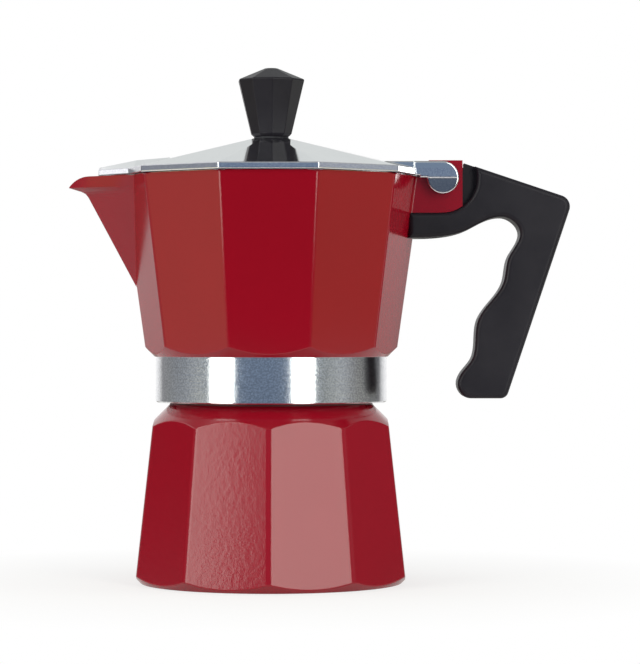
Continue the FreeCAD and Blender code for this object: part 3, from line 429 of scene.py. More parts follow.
@dataclass(frozen=True)
class Lacquer:
    """Glossy lacquer sprayed on cast aluminium, which is bare where it was machined."""

    colour: Colour = (0.266, 0.0033, 0.0130, 1.0)
    deep_colour: Colour = (0.234, 0.0028, 0.0102, 1.0)
    # painted shade: dark red for the neck that lies in the ring's shadow
    neck_shade_colour: Colour = (0.045, 0.0016, 0.003, 1.0)
    bare_colour: Colour = (0.90, 0.91, 0.93, 1.0)
    pitted_colour: Colour = (0.64, 0.65, 0.68, 1.0)
    gloss: float = 0.135
    bare_roughness: float = 0.13
    groove_dulling: float = 0.55
    ripple_scale: float = 620.0
    ripple_height: float = 0.000036
    mark_height: float = 0.00003
    turning_pitch: float = 0.00016
    speckle: float = 0.6
    bump_strength: float = 0.6
    ior: float = 1.45

    def coat(
        self, shelf: EffectShelf, sheet: NodeSheet, shader: bpy.types.Node, coated: Socket,
        travel: Socket, shaded_groove: Feed = 0.0,
    ) -> None:
        """Fill a shader from the mask of the coated zone.

        Args:
            shelf: the shared groups.
            sheet: the material's nodes.
            shader: its Principled BSDF.
            coated: 1 on lacquer and 0 on bare metal.
            travel: distance along the cut of the lathe.
            shaded_groove: 1 on the neck under the ring, where the coat is dulled and painted dark
                as the ring's shade.
        """
        place = sheet.place()
        ripple = shelf.use(sheet, Effect.PEEL, Vector=place, Scale=self.ripple_scale).outputs
        marks = shelf.use(
            sheet, Effect.TURNED, Vector=place, Travel=travel, Pitch=self.turning_pitch,
            Speckle=self.speckle).outputs
        lacquer = sheet.mix(ripple["Tone"], self.colour, self.deep_colour)
        # painted shade: the neck under the ring is darkened as if the ring shaded it
        if shaded_groove:
            lacquer = sheet.mix(shaded_groove, lacquer, self.neck_shade_colour)
        pitted = sheet.mix(marks["Speck"], self.bare_colour, self.pitted_colour)
        sheet.feed(shader.inputs["Base Color"], sheet.mix(coated, pitted, lacquer))
        sheet.feed(shader.inputs["Metallic"], sheet.math("SUBTRACT", 1.0, coated))
        bare = sheet.vary(marks["Tone"], self.bare_roughness, least=0.8, most=1.25)
        coat = sheet.vary(ripple["Tone"], self.gloss, least=0.85, most=1.2)
        if shaded_groove:
            coat = sheet.blend(shaded_groove, coat, self.groove_dulling)
        sheet.feed(shader.inputs["Roughness"], sheet.blend(coated, bare, coat))
        deep = sheet.math("MULTIPLY", marks["Height"], self.mark_height / self.ripple_height)
        step = sheet.blend(coated, deep, ripple["Height"])
        sheet.bump(shader, step, self.bump_strength, self.ripple_height)
        shader.inputs["IOR"].default_value = self.ior


@dataclass(frozen=True)
class PolishedMetal:
    """Polished cast aluminium of the lid, with a satin band round its upright rim and a dull seat
    under the knob painted dark as the knob's shade.
    """

    colour: Colour = (0.90, 0.905, 0.915, 1.0)
    dull_colour: Colour = (0.80, 0.81, 0.83, 1.0)
    speck_colour: Colour = (0.70, 0.70, 0.77, 1.0)
    # painted shade: dark seat under the knob, standing in for the knob's shadow
    seat_shade_colour: Colour = (0.10, 0.10, 0.11, 1.0)
    gloss: float = 0.075
    satin: float = 0.13
    seat_roughness: float = 0.6
    seat_radius: float = 0.0056
    seat_z: float = 0.1377
    band_high: float = 0.1284
    wave_scale: float = 90.0
    worn_edge: float = 0.0006
    grain_scale: float = 2600.0
    speck_low: float = 0.4
    speck_high: float = 0.6
    wave_share: float = 0.9
    bump_strength: float = 0.25
    bump_height: float = 0.00005

    def material(self, shelf: EffectShelf) -> Material:
        """Build the material.

        Args:
            shelf: the shared groups.

        Returns:
            The material.
        """
        material, sheet, shader = new_material("polished_lid")
        place = sheet.place()
        polar = shelf.use(sheet, Effect.POLAR, Vector=place, Clock=FACET_ANGLE / 2.0).outputs
        grain = shelf.use(sheet, Effect.GRAIN, Vector=place, Scale=self.grain_scale).outputs
        wave = sheet.noise(place, self.wave_scale, detail=2.0)
        in_band = sheet.math("LESS_THAN", polar["Height"], self.band_high)
        rough = sheet.blend(in_band, self.gloss, self.satin)
        # the seat under the knob: dulled, and painted dark as the knob's shade
        near_axis = sheet.math("LESS_THAN", polar["Radius"], self.seat_radius)
        on_top = sheet.math("GREATER_THAN", polar["Height"], self.seat_z)
        shaded_seat = sheet.math("MULTIPLY", near_axis, on_top)
        rough = sheet.blend(shaded_seat, rough, self.seat_roughness)
        uneven = sheet.vary(grain["Tone"], 1.0, least=0.8, most=1.2)
        sheet.feed(shader.inputs["Roughness"], sheet.math("MULTIPLY", rough, uneven))
        shine = sheet.mix(grain["Tone"], self.colour, self.dull_colour)
        speck = sheet.span(grain["Height"], self.speck_low, self.speck_high, 0.0, 1.0)
        shine = sheet.mix(sheet.math("MULTIPLY", in_band, speck), shine, self.speck_colour)
        # painted shade on the seat under the knob
        sheet.feed(shader.inputs["Base Color"], sheet.mix(shaded_seat, shine, self.seat_shade_colour))
        shader.inputs["Metallic"].default_value = 1.0
        height = sheet.blend(self.wave_share, grain["Height"], wave)
        sheet.bump(shader, height, self.bump_strength, self.bump_height, self.worn_edge)
        return material


@dataclass(frozen=True)
class TurnedMetal:
    """Metal with fine circular marks about one axis: spun sheet, turned brass or plated steel."""

    name: str
    colour: Colour
    dark_colour: Colour
    roughness: float
    pitch: float
    axis_point: tuple[float, float, float] = (0.0, 0.0, 0.0)
    axis: tuple[float, float, float] = (0.0, 0.0, 1.0)
    speckle: float = 0.25
    grain_scale: float = 1500.0
    bump_strength: float = 0.3
    bump_height: float = 0.00003

    def material(self, shelf: EffectShelf) -> Material:
        """Build the material.

        Args:
            shelf: the shared groups.

        Returns:
            The material.
        """
        material, sheet, shader = new_material(self.name)
        place = sheet.place()
        offset = sheet.vector("SUBTRACT", place, self.axis_point)
        along = sheet.vector("DOT_PRODUCT", offset, self.axis)
        radius = sheet.vector("LENGTH", sheet.vector("CROSS_PRODUCT", offset, self.axis))
        marks = shelf.use(
            sheet, Effect.TURNED, Vector=place, Travel=sheet.math("ADD", along, radius),
            Pitch=self.pitch, Speckle=self.speckle).outputs
        grain = shelf.use(sheet, Effect.GRAIN, Vector=place, Scale=self.grain_scale).outputs
        shine = sheet.mix(grain["Tone"], self.colour, self.dark_colour)
        sheet.feed(shader.inputs["Base Color"], shine)
        rough = sheet.vary(marks["Tone"], self.roughness, least=0.8, most=1.25)
        sheet.feed(shader.inputs["Roughness"], rough)
        shader.inputs["Metallic"].default_value = 1.0
        sheet.bump(shader, marks["Height"], self.bump_strength, self.bump_height)
        return material


@dataclass(frozen=True)
class MouldedPlastic:
    """Satin black thermoset with a fine moulded grain and, on the handle, its parting line."""

    name: str
    colour: Colour = (0.0100, 0.0084, 0.0128, 1.0)
    worn_colour: Colour = (0.0145, 0.0126, 0.0175, 1.0)
    roughness: float = 0.42
    grain_scale: float = 1800.0
    parting_line: bool = False
    parting_width: float = 0.00022
    worn_low: float = 0.35
    worn_high: float = 0.7
    grain_share: float = 0.35
    bump_strength: float = 0.35
    bump_height: float = 0.00008
    specular: float = 0.22

    def material(self, shelf: EffectShelf) -> Material:
        """Build the material.

        Args:
            shelf: the shared groups.

        Returns:
            The material.
        """
        material, sheet, shader = new_material(self.name)
        place = sheet.place()
        grain = shelf.use(sheet, Effect.GRAIN, Vector=place, Scale=self.grain_scale).outputs
        tone = sheet.span(grain["Tone"], self.worn_low, self.worn_high, 0.0, 1.0)
        sheet.feed(shader.inputs["Base Color"], sheet.mix(tone, self.colour, self.worn_colour))
        rough = sheet.vary(grain["Tone"], self.roughness, least=0.9, most=1.15)
        sheet.feed(shader.inputs["Roughness"], rough)
        height = sheet.math("MULTIPLY", grain["Height"], self.grain_share)
        if self.parting_line:
            y = sheet.add("SeparateXYZ", Vector=place).outputs[1]
            line = sheet.span(sheet.math("ABSOLUTE", y), 0.0, self.parting_width, 1.0, 0.0)
            height = sheet.math("ADD", height, line)
        sheet.bump(shader, height, self.bump_strength, self.bump_height)
        shader.inputs["Specular IOR Level"].default_value = self.specular
        return material


@dataclass(frozen=True)
class Rubber:
    """Pale food-grade rubber with a slightly mottled, dull skin."""

    colour: Colour = (0.70, 0.68, 0.63, 1.0)
    stained_colour: Colour = (0.58, 0.53, 0.46, 1.0)
    roughness: float = 0.62
    grain_scale: float = 2200.0
    stain_low: float = 0.4
    stain_high: float = 0.75
    bump_strength: float = 0.4
    bump_height: float = 0.00006

    def material(self, shelf: EffectShelf) -> Material:
        """Build the material.

        Args:
            shelf: the shared groups.

        Returns:
            The material.
        """
        material, sheet, shader = new_material("seal_rubber")
        grain = shelf.use(
            sheet, Effect.GRAIN, Vector=sheet.place(), Scale=self.grain_scale).outputs
        tone = sheet.span(grain["Tone"], self.stain_low, self.stain_high, 0.0, 1.0)
        sheet.feed(shader.inputs["Base Color"], sheet.mix(tone, self.colour, self.stained_colour))
        rough = sheet.vary(grain["Tone"], self.roughness, least=0.9, most=1.1)
        sheet.feed(shader.inputs["Roughness"], rough)
        sheet.bump(shader, grain["Height"], self.bump_strength, self.bump_height)
        return material


def grid_piece(
    name: str, points: np.ndarray, close_along: bool = False, cap_ends: bool = False
) -> bpy.types.Object:
    """Make a smooth quad mesh from a grid of points.

    Neighbours in the grid share quads, and each section is a closed loop.

    Args:
        name: the piece's name.
        points: array of shape (along, across, 3).
        close_along: whether the last section joins the first.
        cap_ends: whether the first and the last section are filled.

    Returns:
        The linked object.
    """
    rows, columns = points.shape[:2]
    index = np.arange(rows * columns).reshape(rows, columns)
    if close_along:
        index = np.concatenate([index, index[:1]], axis=0)
    index = np.concatenate([index, index[:, :1]], axis=1)
    quads = np.stack([index[:-1, :-1], index[1:, :-1], index[1:, 1:], index[:-1, 1:]], axis=-1)
    faces = quads.reshape(-1, 4).tolist()
    if cap_ends:
        faces += [index[0, :columns].tolist(), index[-1, columns - 1::-1].tolist()]
    mesh = bpy.data.meshes.new(name)
    mesh.from_pydata(points.reshape(-1, 3), [], faces)
    mesh.polygons.foreach_set("use_smooth", np.ones(len(mesh.polygons), dtype=bool))
    mesh.update()
    piece = bpy.data.objects.new(name, mesh)
    bpy.context.scene.collection.objects.link(piece)
    return piece


@dataclass(frozen=True)
class Seal:
    """Flat rubber ring with rounded edges about the Z axis."""

    bore: float
    radius: float
    low: float
    high: float
    ease: float
    sides: int
    steps: int

    def points(self) -> np.ndarray:
        """Turn the ring's section about Z.

        The section is a superellipse: its two coordinates are signed powers of cosine and sine, so
        the sides are flat and the corners round, and a smaller power is squarer. Each of its points
        (r, z) goes round as (r cos t, r sin t, z).

        Returns:
            Array of shape (steps, sides, 3).
        """
        bend = np.linspace(0.0, 2.0 * np.pi, self.sides, endpoint=False)
        across = np.sign(np.cos(bend)) * np.abs(np.cos(bend)) ** self.ease
        up = np.sign(np.sin(bend)) * np.abs(np.sin(bend)) ** self.ease
        radius = (self.bore + self.radius) / 2.0 + (self.radius - self.bore) / 2.0 * across
        height = (self.low + self.high) / 2.0 + (self.high - self.low) / 2.0 * up
        turn = np.linspace(0.0, 2.0 * np.pi, self.steps, endpoint=False)[:, None]
        height = np.broadcast_to(height, (self.steps, self.sides))
        return np.stack([radius * np.cos(turn), radius * np.sin(turn), height], axis=-1)


@dataclass(frozen=True)
class Thread:
    """Right-handed screw thread between the two vessels, one ridge on either wall."""

    lead: float = 0.004
    turns: float = 1.25
    base: float = 0.0019
    tip: float = 0.0006
    sink: float = 0.0003
    turn_steps: int = 96
    run_out: float = 0.125
    least_rise: float = 0.02
    flank_rise: float = 0.75
    flank_share: float = 0.25
    crest_ease: float = 0.94

    def ridge(self, root: float, crest: float, start_z: float) -> np.ndarray:
        """Carry a trapezoid with a rounded crest along a helix.

        At angle t the section stands at height start_z + lead t / 2 pi. Its crest rises from the
        root by a share that eases in and out over the first and last eighth of the run, so the
        ends run out into the wall. The foot of the section is sunk into the wall.

        Args:
            root: radius of the wall that carries the ridge.
            crest: radius of the ridge's crest, outside or inside the root.
            start_z: height of the first section.

        Returns:
            Array of shape (along, across, 3).
        """
        steps = int(self.turn_steps * self.turns)
        turn = np.linspace(0.0, 2.0 * np.pi * self.turns, steps)[:, None]
        run = np.linspace(0.0, 1.0, steps)[:, None]
        rise = np.clip(np.minimum(run, 1.0 - run) / self.run_out, self.least_rise, 1.0)
        rise = rise * rise * (3.0 - 2.0 * rise)
        side = np.sign(crest - root)
        climb = np.array([0.0, 0.0, self.flank_rise, self.crest_ease])
        share = np.concatenate([climb, [1.0], climb[::-1]]) * (crest - root) * rise
        share[:, [0, -1]] = -self.sink * side
        flank = self.tip + self.flank_share * (self.base - self.tip)
        half = np.array([self.base, self.base, flank, self.tip]) / 2.0
        wide = np.concatenate([half, [0.0], -half[::-1]])
        radius = root + share
        height = start_z + self.lead * turn / (2.0 * np.pi) + wide
        if side > 0:
            radius, height = radius[:, ::-1], height[:, ::-1]
        return np.stack([radius * np.cos(turn), radius * np.sin(turn), height], axis=-1)


def dress(nodes: tuple[str, ...], material: Material) -> None:
    """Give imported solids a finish.

    Args:
        nodes: names of the solids.
        material: their finish.
    """
    for name in nodes:
        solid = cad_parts[name]
        solid.data.materials.clear()
        solid.data.materials.append(material)
        LOG.info("%s wears %s", name, material.name)


def settle(
    piece: bpy.types.Object, body: str, material: Material, stands_for: str = ""
) -> None:
    """Finish a new piece and let it ride on its body.

    Args:
        piece: the new piece.
        body: body that carries it.
        material: its finish.
        stands_for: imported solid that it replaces, if any.
    """
    piece.data.materials.append(material)
    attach(piece, body)
    if stands_for:
        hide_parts(stands_for)
    LOG.info("%s rides on %s", piece.name, body)


@dataclass
class Boiler:
    """Lower vessel with the outer half of the screw thread."""

    foot_inradius: float = 0.0438 * FACET_COS
    taper: float = 0.1136 * FACET_COS
    wall: float = 0.0028
    shoulder: float = 0.0870
    neck_radius: float = 0.0315
    coat_top_z: float = 0.0570
    rest_z: float = 0.00002
    thread_crest: float = 0.0328
    thread_start_z: float = 0.0585

    def build(self, shelf: EffectShelf, bare: Material) -> None:
        """Dress the casting and cut its thread.

        Args:
            shelf: the shared groups.
            bare: finish of bare metal.
        """
        dress(("boiler",), self._lacquer(shelf))
        ridge = Thread().ridge(self.neck_radius, self.thread_crest, self.thread_start_z)
        settle(grid_piece("neck_thread", ridge, cap_ends=True), "boiler", bare)

    def _lacquer(self, shelf: EffectShelf) -> Material:
        """Coat the outside up to the neck, paint shade on the neck under the ring, and leave the
        inside and the underside bare.

        The facets lean in with the height. On the shoulder, radius plus height is constant.

        Args:
            shelf: the shared groups.

        Returns:
            The material.
        """
        material, sheet, shader = new_material("boiler_lacquer")
        polar = shelf.use(sheet, Effect.POLAR, Vector=sheet.place(), Clock=0.0).outputs
        radius, height = polar["Radius"], polar["Height"]
        travel = sheet.math("ADD", radius, height)
        half_wall = self.wall / 2.0
        neck = self.neck_radius - half_wall
        lean = sheet.math("MULTIPLY", height, self.taper)
        skin = sheet.math("SUBTRACT", self.foot_inradius - half_wall, lean)
        on_facet = sheet.math("GREATER_THAN", radius, skin)
        on_shoulder = sheet.math("GREATER_THAN", travel, self.shoulder - half_wall)
        above_shoulder = sheet.math("GREATER_THAN", height, self.shoulder - neck - self.wall)
        on_neck = sheet.math("MULTIPLY", sheet.math("GREATER_THAN", radius, neck), above_shoulder)
        outside = sheet.math("MAXIMUM", sheet.math("MAXIMUM", on_facet, on_shoulder), on_neck)
        below_top = sheet.math("LESS_THAN", height, self.coat_top_z)
        above_rest = sheet.math("GREATER_THAN", height, self.rest_z)
        coated = sheet.math("MULTIPLY", outside, sheet.math("MULTIPLY", below_top, above_rest))
        # the neck under the ring, where the lacquer is dulled and painted dark as the ring's shade
        shaded_groove = sheet.math("GREATER_THAN", height, self.shoulder - neck - half_wall)
        Lacquer().coat(shelf, sheet, shader, coated, travel, shaded_groove)
        return material


@dataclass
class Collector:
    """Upper vessel with the inner half of the screw thread."""

    foot_radius: float = 0.03945
    foot_z: float = 0.07375
    top_radius: float = 0.0468
    top_z: float = 0.126
    wall: float = 0.0026
    skirt_z: float = 0.07022
    floor_z: float = 0.075
    bore: float = 0.0333
    bore_margin: float = 0.0004
    rim_z: float = 0.12595
    inner_facing: float = -0.15
    thread_crest: float = 0.0321
    thread_start_z: float = 0.0575

    def build(self, shelf: EffectShelf, bare: Material) -> None:
        """Dress the casting and cut its thread.

        Args:
            shelf: the shared groups.
            bare: finish of bare metal.
        """
        dress(("collector",), self._lacquer(shelf))
        ridge = Thread().ridge(self.bore, self.thread_crest, self.thread_start_z)
        settle(grid_piece("skirt_thread", ridge, cap_ends=True), "collector", bare)

    def _lacquer(self, shelf: EffectShelf) -> Material:
        """Coat the outside, and leave the inside, the turned skirt and the turned rim bare.

        A point is outside past the middle of the flaring wall, or low down past the bore, where the
        surface doesn't face the axis.

        Args:
            shelf: the shared groups.

        Returns:
            The material.
        """
        material, sheet, shader = new_material("collector_lacquer")
        place = sheet.place()
        polar = shelf.use(sheet, Effect.POLAR, Vector=place, Clock=FACET_ANGLE / 2.0).outputs
        radius, height, facet = polar["Radius"], polar["Height"], polar["Facet"]
        flare = (self.top_radius - self.foot_radius) / (self.top_z - self.foot_z) * FACET_COS
        inradius = self.foot_radius * FACET_COS - flare * self.foot_z
        lean = sheet.math("MULTIPLY", height, flare)
        skin = sheet.math("ADD", inradius - self.wall / 2.0, lean)
        on_facet = sheet.math("GREATER_THAN", facet, skin)
        low = sheet.math("LESS_THAN", height, self.floor_z)
        past_bore = sheet.math("GREATER_THAN", radius, self.bore + self.bore_margin)
        outside = sheet.math("MAXIMUM", on_facet, sheet.math("MULTIPLY", low, past_bore))
        away = sheet.vector("NORMALIZE", sheet.vector("MULTIPLY", place, (1.0, 1.0, 0.0)))
        facing = sheet.vector("DOT_PRODUCT", away, sheet.add("TexCoord").outputs["Normal"])
        outward = sheet.math("GREATER_THAN", facing, self.inner_facing)
        above_skirt = sheet.math("GREATER_THAN", height, self.skirt_z)
        below_rim = sheet.math("LESS_THAN", height, self.rim_z)
        past_rim = sheet.math("GREATER_THAN", sheet.math("SUBTRACT", facet, skin), self.wall)
        unturned = sheet.math("MULTIPLY", above_skirt, sheet.math("MAXIMUM", below_rim, past_rim))
        coated = sheet.math("MULTIPLY", sheet.math("MULTIPLY", outside, outward), unturned)
        Lacquer().coat(shelf, sheet, shader, coated, sheet.math("ADD", height, radius))
        return material


@dataclass
class Lid:
    """Hinged lid with its knob and the parts that hold the knob."""

    knob_roughness: float = 0.36

    def build(self, shelf: EffectShelf, steel: Material, brass: Material) -> None:
        """Dress the lid, its pin, the knob and the knob's fixings.

        Args:
            shelf: the shared groups.
            steel: plated steel.
            brass: turned brass.
        """
        dress(("lid",), PolishedMetal().material(shelf))
        plastic = MouldedPlastic("knob_plastic", roughness=self.knob_roughness)
        dress(("knob",), plastic.material(shelf))
        dress(("hinge_pin", "knob_screw", "knob_washer"), steel)
        dress(("knob_insert",), brass)


@dataclass
class Handle:
    """Moulded handle with its screw and washer."""

    def build(self, shelf: EffectShelf, steel: Material) -> None:
        """Dress the handle and its fixings.

        Args:
            shelf: the shared groups.
            steel: plated steel.
        """
        dress(("handle",), MouldedPlastic("handle_plastic", parting_line=True).material(shelf))
        dress(("handle_screw", "handle_washer"), steel)


@dataclass
class Filter:
    """Funnel, filter plate and the rubber ring that seals them."""

    seal: Seal = Seal(
        bore=0.0259, radius=0.0320, low=0.0668, high=0.0703, ease=0.35, sides=40, steps=128)

    def build(self, bare: Material, rubber: Material) -> None:
        """Dress the spun pieces and make the seal.

        Args:
            bare: finish of bare metal.
            rubber: finish of the seals.
        """
        dress(("funnel_basket", "funnel_screen", "funnel_tube", "filter_plate"), bare)
        seal = grid_piece("seal_ring", self.seal.points(), close_along=True)
        settle(seal, "gasket", rubber, "gasket")


@dataclass
class SafetyValve:
    """Brass relief valve on the boiler's rear facet."""

    angle: float = math.radians(108.0)
    height: float = 0.030
    washer: Seal = Seal(
        bore=0.0040, radius=0.0058, low=0.0402, high=0.0408, ease=0.3, sides=32, steps=64)
    poppet_face: float = 0.0368
    cap_face: float = 0.0470
    spring_radius: float = 0.00175
    spring_wire: float = 0.00028
    spring_play: float = 0.00005
    spring_turns: int = 6
    spring_steps: int = 40
    wire_sides: int = 12
    lift: float = 0.0015

    def build(self, shelf: EffectShelf, steel: Material, rubber: Material) -> None:
        """Dress the valve and make its washer and its spring.

        Args:
            shelf: the shared groups.
            steel: plated steel.
            rubber: finish of the seals.
        """
        away = (math.cos(self.angle), math.sin(self.angle), 0.0)
        brass = TurnedMetal(
            "valve_brass", BRASS, DULL_BRASS, roughness=0.24, pitch=0.0002,
            axis_point=(0.0, 0.0, self.height), axis=away)
        dress(("valve_body", "valve_cap", "valve_poppet"), brass.material(shelf))
        ring = self._place(self.washer.points()[:, ::-1])
        seal = grid_piece("valve_seal", ring, close_along=True)
        settle(seal, "boiler", rubber, "valve_washer")
        self._spring(steel)

    def _spring(self, steel: Material) -> None:
        """Wind the spring between the poppet and the cap, and let it ride on the boiler.

        Args:
            steel: plated steel.
        """
        spring = grid_piece("relief_spring", self._place(self._coil()), cap_ends=True)
        settle(spring, "boiler", steel, "valve_spring")
        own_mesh(spring)

    def _coil(self) -> np.ndarray:
        """Wind a round wire about a local Z axis, from the poppet to the cap.

        The wire's middle is (R cos t, -R sin t, low + (high - low) t / 2 pi n), and its section
        is a circle between the coil's radius and its axis.

        Returns:
            Array of shape (along, across, 3).
        """
        gap = self.spring_wire + self.spring_play
        low = self.poppet_face + gap
        high = self.cap_face - gap
        whole = 2.0 * np.pi * self.spring_turns
        turn = np.linspace(0.0, whole, self.spring_steps * self.spring_turns + 1)[:, None]
        bend = np.linspace(0.0, 2.0 * np.pi, self.wire_sides, endpoint=False)[None, :]
        reach = self.spring_radius + self.spring_wire * np.cos(bend)
        height = low + (high - low) * turn / whole + self.spring_wire * np.sin(bend)
        return np.stack([reach * np.cos(turn), -reach * np.sin(turn), height], axis=-1)

    def _place(self, points: np.ndarray) -> np.ndarray:
        """Carry points from a local +Z axis to the valve's level axis.

        Local z becomes the distance outwards, local x the height and local y the sideways offset.

        Args:
            points: array of any shape ending in 3.

        Returns:
            The points in the pot's frame.
        """
        away = np.array([math.cos(self.angle), math.sin(self.angle), 0.0])
        aside = np.array([-math.sin(self.angle), math.cos(self.angle), 0.0])
        up = np.array([0.0, 0.0, 1.0])
        rise, shift, reach = points[..., 0:1], points[..., 1:2], points[..., 2:3]
        return reach * away + shift * aside + rise * up + self.height * up


@dataclass(frozen=True)
class Softbox:
    """One large upright soft lamp, given by where it stands round the pot."""

    name: str
    azimuth: float
    distance: float
    width: float
    low: float
    high: float
    radiance: float
    mirrored: bool = True
    tint: tuple[float, float, float] = (0.98, 1.0, 0.93)

    def build(self) -> None:
        """Stand the lamp facing the pot's axis, in its reflections or only as soft light."""
        turn = math.radians(self.azimuth)
        away = Vector((math.sin(turn), -math.cos(turn), 0.0))
        lamp = bpy.data.lights.new(self.name, "AREA")
        lamp.shape = "RECTANGLE"
        lamp.size = self.width
        lamp.size_y = self.high - self.low
        lamp.energy = self.radiance * math.pi * lamp.size * lamp.size_y
        lamp.color = self.tint
        holder = bpy.data.objects.new(self.name, lamp)
        holder.location = away * self.distance + Vector((0.0, 0.0, (self.low + self.high) / 2.0))
        holder.rotation_euler = (-away).to_track_quat("-Z", "Y").to_euler()
        holder.visible_camera = False
        holder.visible_glossy = self.mirrored
        bpy.context.scene.collection.objects.link(holder)
        LOG.info("%s lights the pot", self.name)


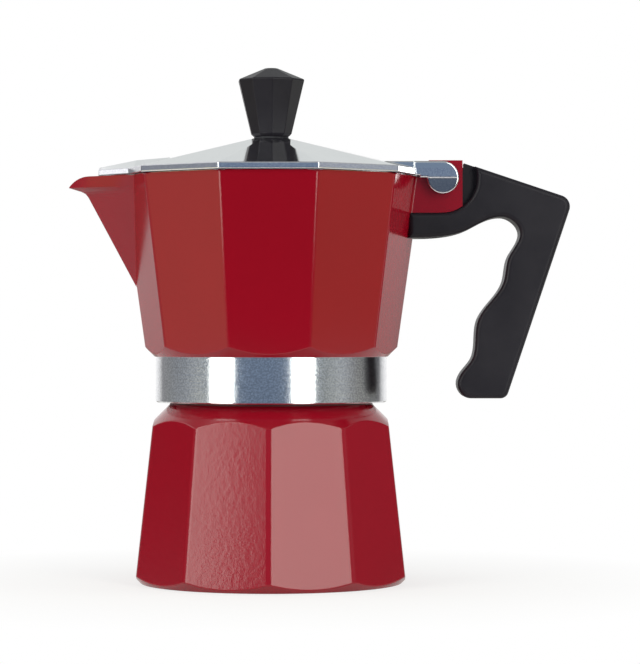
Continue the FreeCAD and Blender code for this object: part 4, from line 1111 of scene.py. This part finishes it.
@dataclass
class Studio:
    """Camera, floor, soft lamps and surroundings."""

    eye: tuple[float, float, float] = (0.01516, -0.8841, 0.07783)
    lens: float = 159.75
    sensor: float = 36.0
    floor_reach: tuple[float, float] = (0.36, 0.25)
    floor_z: float = -0.0002
    floor_start: float = 0.002
    floor_rings: int = 12
    floor_sides: int = 96
    floor_colour: Colour = (0.90, 0.88, 0.85, 1.0)
    floor_mirror: float = 0.45
    shade_near: float = 0.045
    shade_far: float = 0.15
    shade_glow: float = 0.72
    table_levels: tuple[float, float] = (-0.13, -0.02)
    wall_levels: tuple[float, float] = (0.0, 0.05)
    sky_levels: tuple[float, float] = (0.20, 0.30)
    ceiling_levels: tuple[float, float] = (0.50, 0.80)
    ceiling_colour: Colour = (0.30, 0.31, 0.31, 1.0)
    card_levels: tuple[float, float] = (0.235, 0.265)
    card_colour: Colour = (1.3, 1.3, 1.3, 1.0)
    lamps: tuple[Softbox, ...] = (
        Softbox("left_softbox", -48.1, 0.75, 0.296, -0.045, 0.80, 4.9),
        Softbox("right_softbox", 31.8, 0.75, 0.262, -0.045, 0.80, 4.9),
        Softbox("left_fill", -78.0, 0.75, 0.40, 0.0, 0.80, 0.5, mirrored=False),
        Softbox("right_fill", 82.0, 0.75, 0.40, 0.0, 0.80, 2.0, mirrored=False),
    )

    def build(self) -> None:
        """Set up the whole studio."""
        self._camera()
        self._floor()
        self._surroundings()
        for lamp in self.lamps:
            lamp.build()
        bpy.context.scene.view_settings.view_transform = "Standard"

    def _camera(self) -> None:
        """Place a level camera that looks along +Y."""
        camera = bpy.data.cameras.new("camera")
        camera.sensor_fit = "HORIZONTAL"
        camera.sensor_width = self.sensor
        camera.lens = self.lens
        camera.clip_start = 0.01
        holder = bpy.data.objects.new("camera", camera)
        holder.location = self.eye
        holder.rotation_euler = (math.pi / 2.0, 0.0, 0.0)
        bpy.context.scene.collection.objects.link(holder)
        bpy.context.scene.camera = holder

    def _floor(self) -> None:
        """Lay a pale oval floor, white to the camera apart from the pot's soft shadow.

        A point is (a s cos t, b s sin t), with t round the oval and s from its middle to its edge.
        """
        share, turn = np.meshgrid(
            np.linspace(self.floor_start, 1.0, self.floor_rings),
            np.linspace(0.0, 2.0 * np.pi, self.floor_sides, endpoint=False), indexing="ij")
        across, along = self.floor_reach
        level = np.full_like(share, self.floor_z)
        points = np.stack(
            [across * share * np.cos(turn), along * share * np.sin(turn), level], axis=-1)
        floor = grid_piece("floor", points)
        material, sheet, surface = new_material("floor_paper", "MixShader")
        paper = sheet.add("BsdfDiffuse", Color=self.floor_colour)
        glow = sheet.add("Emission", Color=(1.0, 1.0, 1.0, 1.0), Strength=1.0)
        rays = sheet.add("LightPath").outputs
        mirrored = sheet.math("MULTIPLY", rays["Is Glossy Ray"], self.floor_mirror)
        seen = sheet.math("MAXIMUM", rays["Is Camera Ray"], mirrored)
        distance = sheet.vector("LENGTH", sheet.place())
        white = sheet.span(distance, self.shade_near, self.shade_far, self.shade_glow, 1.0)
        sheet.feed(surface.inputs[0], sheet.math("MULTIPLY", seen, white))
        sheet.feed(surface.inputs[1], paper.outputs[0])
        sheet.feed(surface.inputs[2], glow.outputs[0])
        floor.data.materials.append(material)

    def _surroundings(self) -> None:
        """Surround the pot with a white backdrop behind it and a dim, cool room in front.

        Colour ramps run round the pot for the table, the horizon, the wall above it and the sky.
        They start straight behind the pot and turn by its left side. A dimmer ceiling closes the
        room, and a bright card stands high on the left.
        """
        world = bpy.data.worlds.new("studio")
        world.use_nodes = True
        bpy.context.scene.world = world
        sheet = NodeSheet(world.node_tree)
        world.node_tree.nodes.clear()
        direction = sheet.add("TexCoord").outputs["Generated"]
        x, y, z = sheet.add("SeparateXYZ", Vector=direction).outputs
        azimuth = sheet.math("ARCTAN2", x, sheet.math("MULTIPLY", y, -1.0))
        share = sheet.span(azimuth, -math.pi, math.pi, 0.0, 1.0)
        white = (1.0, 1.0, 1.0, 1.0)
        black = (0.0, 0.0, 0.0)
        pale = (0.70, 0.70, 0.70)
        dusk = (0.18, 0.24, 0.335)
        wood = (0.40, 0.39, 0.36)
        dark_wood = (0.02, 0.02, 0.025)
        lit_wood = (1.0, 1.02, 0.92)
        bright_sky = (0.70, 0.725, 0.72)
        soft_sky = (0.50, 0.52, 0.52)
        left_end = ((-180, white), (-158, white), (-144, pale), (-138, (0.28, 0.28, 0.29)))
        right_end = (
            (-38, dusk), (20, dusk), (55, (0.32, 0.35, 0.37)), (75, (0.40, 0.43, 0.48)),
            (98, (0.16, 0.16, 0.16)), (115, (0.10, 0.10, 0.11)), (137, (0.09, 0.09, 0.10)),
            (143, pale), (158, white), (180, white))
        horizon = sheet.ramp(share, self._stops(
            *left_end, (-122, (0.26, 0.27, 0.28)), (-110, (0.28, 0.30, 0.33)),
            (-82, (0.31, 0.35, 0.41)), *right_end))
        wall = sheet.ramp(share, self._stops(
            *left_end, (-122, (0.26, 0.26, 0.27)), (-112, (0.03, 0.03, 0.03)),
            (-100, (0.05, 0.05, 0.05)), (-82, (0.26, 0.27, 0.29)), *right_end))
        table = sheet.ramp(share, self._stops(
            (-180, wood), (-140, wood), (-130, (0.34, 0.335, 0.28)), (-92, (0.47, 0.44, 0.32)),
            (-74, (1.0, 0.92, 0.58)), (-52, (0.36, 0.33, 0.22)), (-30, dark_wood),
            (44, dark_wood), (60, (0.36, 0.33, 0.17)), (72, (0.54, 0.50, 0.24)),
            (90, (0.48, 0.45, 0.32)), (100, lit_wood), (136, lit_wood), (142, wood), (180, wood)))
        sky = sheet.ramp(share, self._stops(
            (-174, bright_sky), (-164, white), (-132, white), (-122, soft_sky), (125, soft_sky),
            (150, bright_sky)))
        card = sheet.ramp(share, self._stops(
            (-120, black), (-114, white), (-94, white), (-88, black)))
        raised = sheet.span(z, *self.wall_levels, 0.0, 1.0)
        below = sheet.span(z, *self.table_levels, 1.0, 0.0)
        room = sheet.mix(below, sheet.mix(raised, horizon, wall), table)
        room = sheet.mix(sheet.span(z, *self.sky_levels, 0.0, 1.0), room, sky)
        overhead = sheet.span(z, *self.ceiling_levels, 0.0, 1.0)
        room = sheet.mix(overhead, room, self.ceiling_colour)
        high = sheet.span(z, *self.card_levels, 0.0, 1.0)
        room = sheet.mix(sheet.math("MULTIPLY", card, high), room, self.card_colour)
        rays = sheet.add("LightPath").outputs
        colour = sheet.mix(rays["Is Camera Ray"], room, white)
        back = sheet.add("Background", Color=colour, Strength=1.0)
        out = sheet.add("OutputWorld")
        sheet.feed(out.inputs["Surface"], back.outputs[0])

    @staticmethod
    def _stops(*marks: tuple[float, tuple]) -> tuple[tuple[float, Colour], ...]:
        """Turn bearings into ramp stops.

        Args:
            marks: bearings in degrees, 0 in front and positive to the right, with colours.

        Returns:
            Ramp positions from 0 to 1 with opaque colours.
        """
        return tuple((bearing / 360.0 + 0.5, (*colour[:3], 1.0)) for bearing, colour in marks)


def main() -> None:
    """Build every sub-assembly and the studio."""
    logging.basicConfig(level=logging.INFO, format="%(name)s: %(message)s")
    shelf = EffectShelf()
    bare = TurnedMetal("spun_metal", SPUN, DULL_SPUN, 0.28, 0.00018).material(shelf)
    steel = TurnedMetal("plated_steel", PLATED, DULL_PLATED, 0.25, 0.0002).material(shelf)
    brass = TurnedMetal("bush_brass", BRASS, DULL_BRASS, 0.26, 0.0002).material(shelf)
    rubber = Rubber().material(shelf)
    Boiler().build(shelf, bare)
    Collector().build(shelf, bare)
    Lid().build(shelf, steel, brass)
    Handle().build(shelf, steel)
    Filter().build(bare, rubber)
    SafetyValve().build(shelf, steel, rubber)
    Studio().build()


if __name__ == "__main__":
    main()
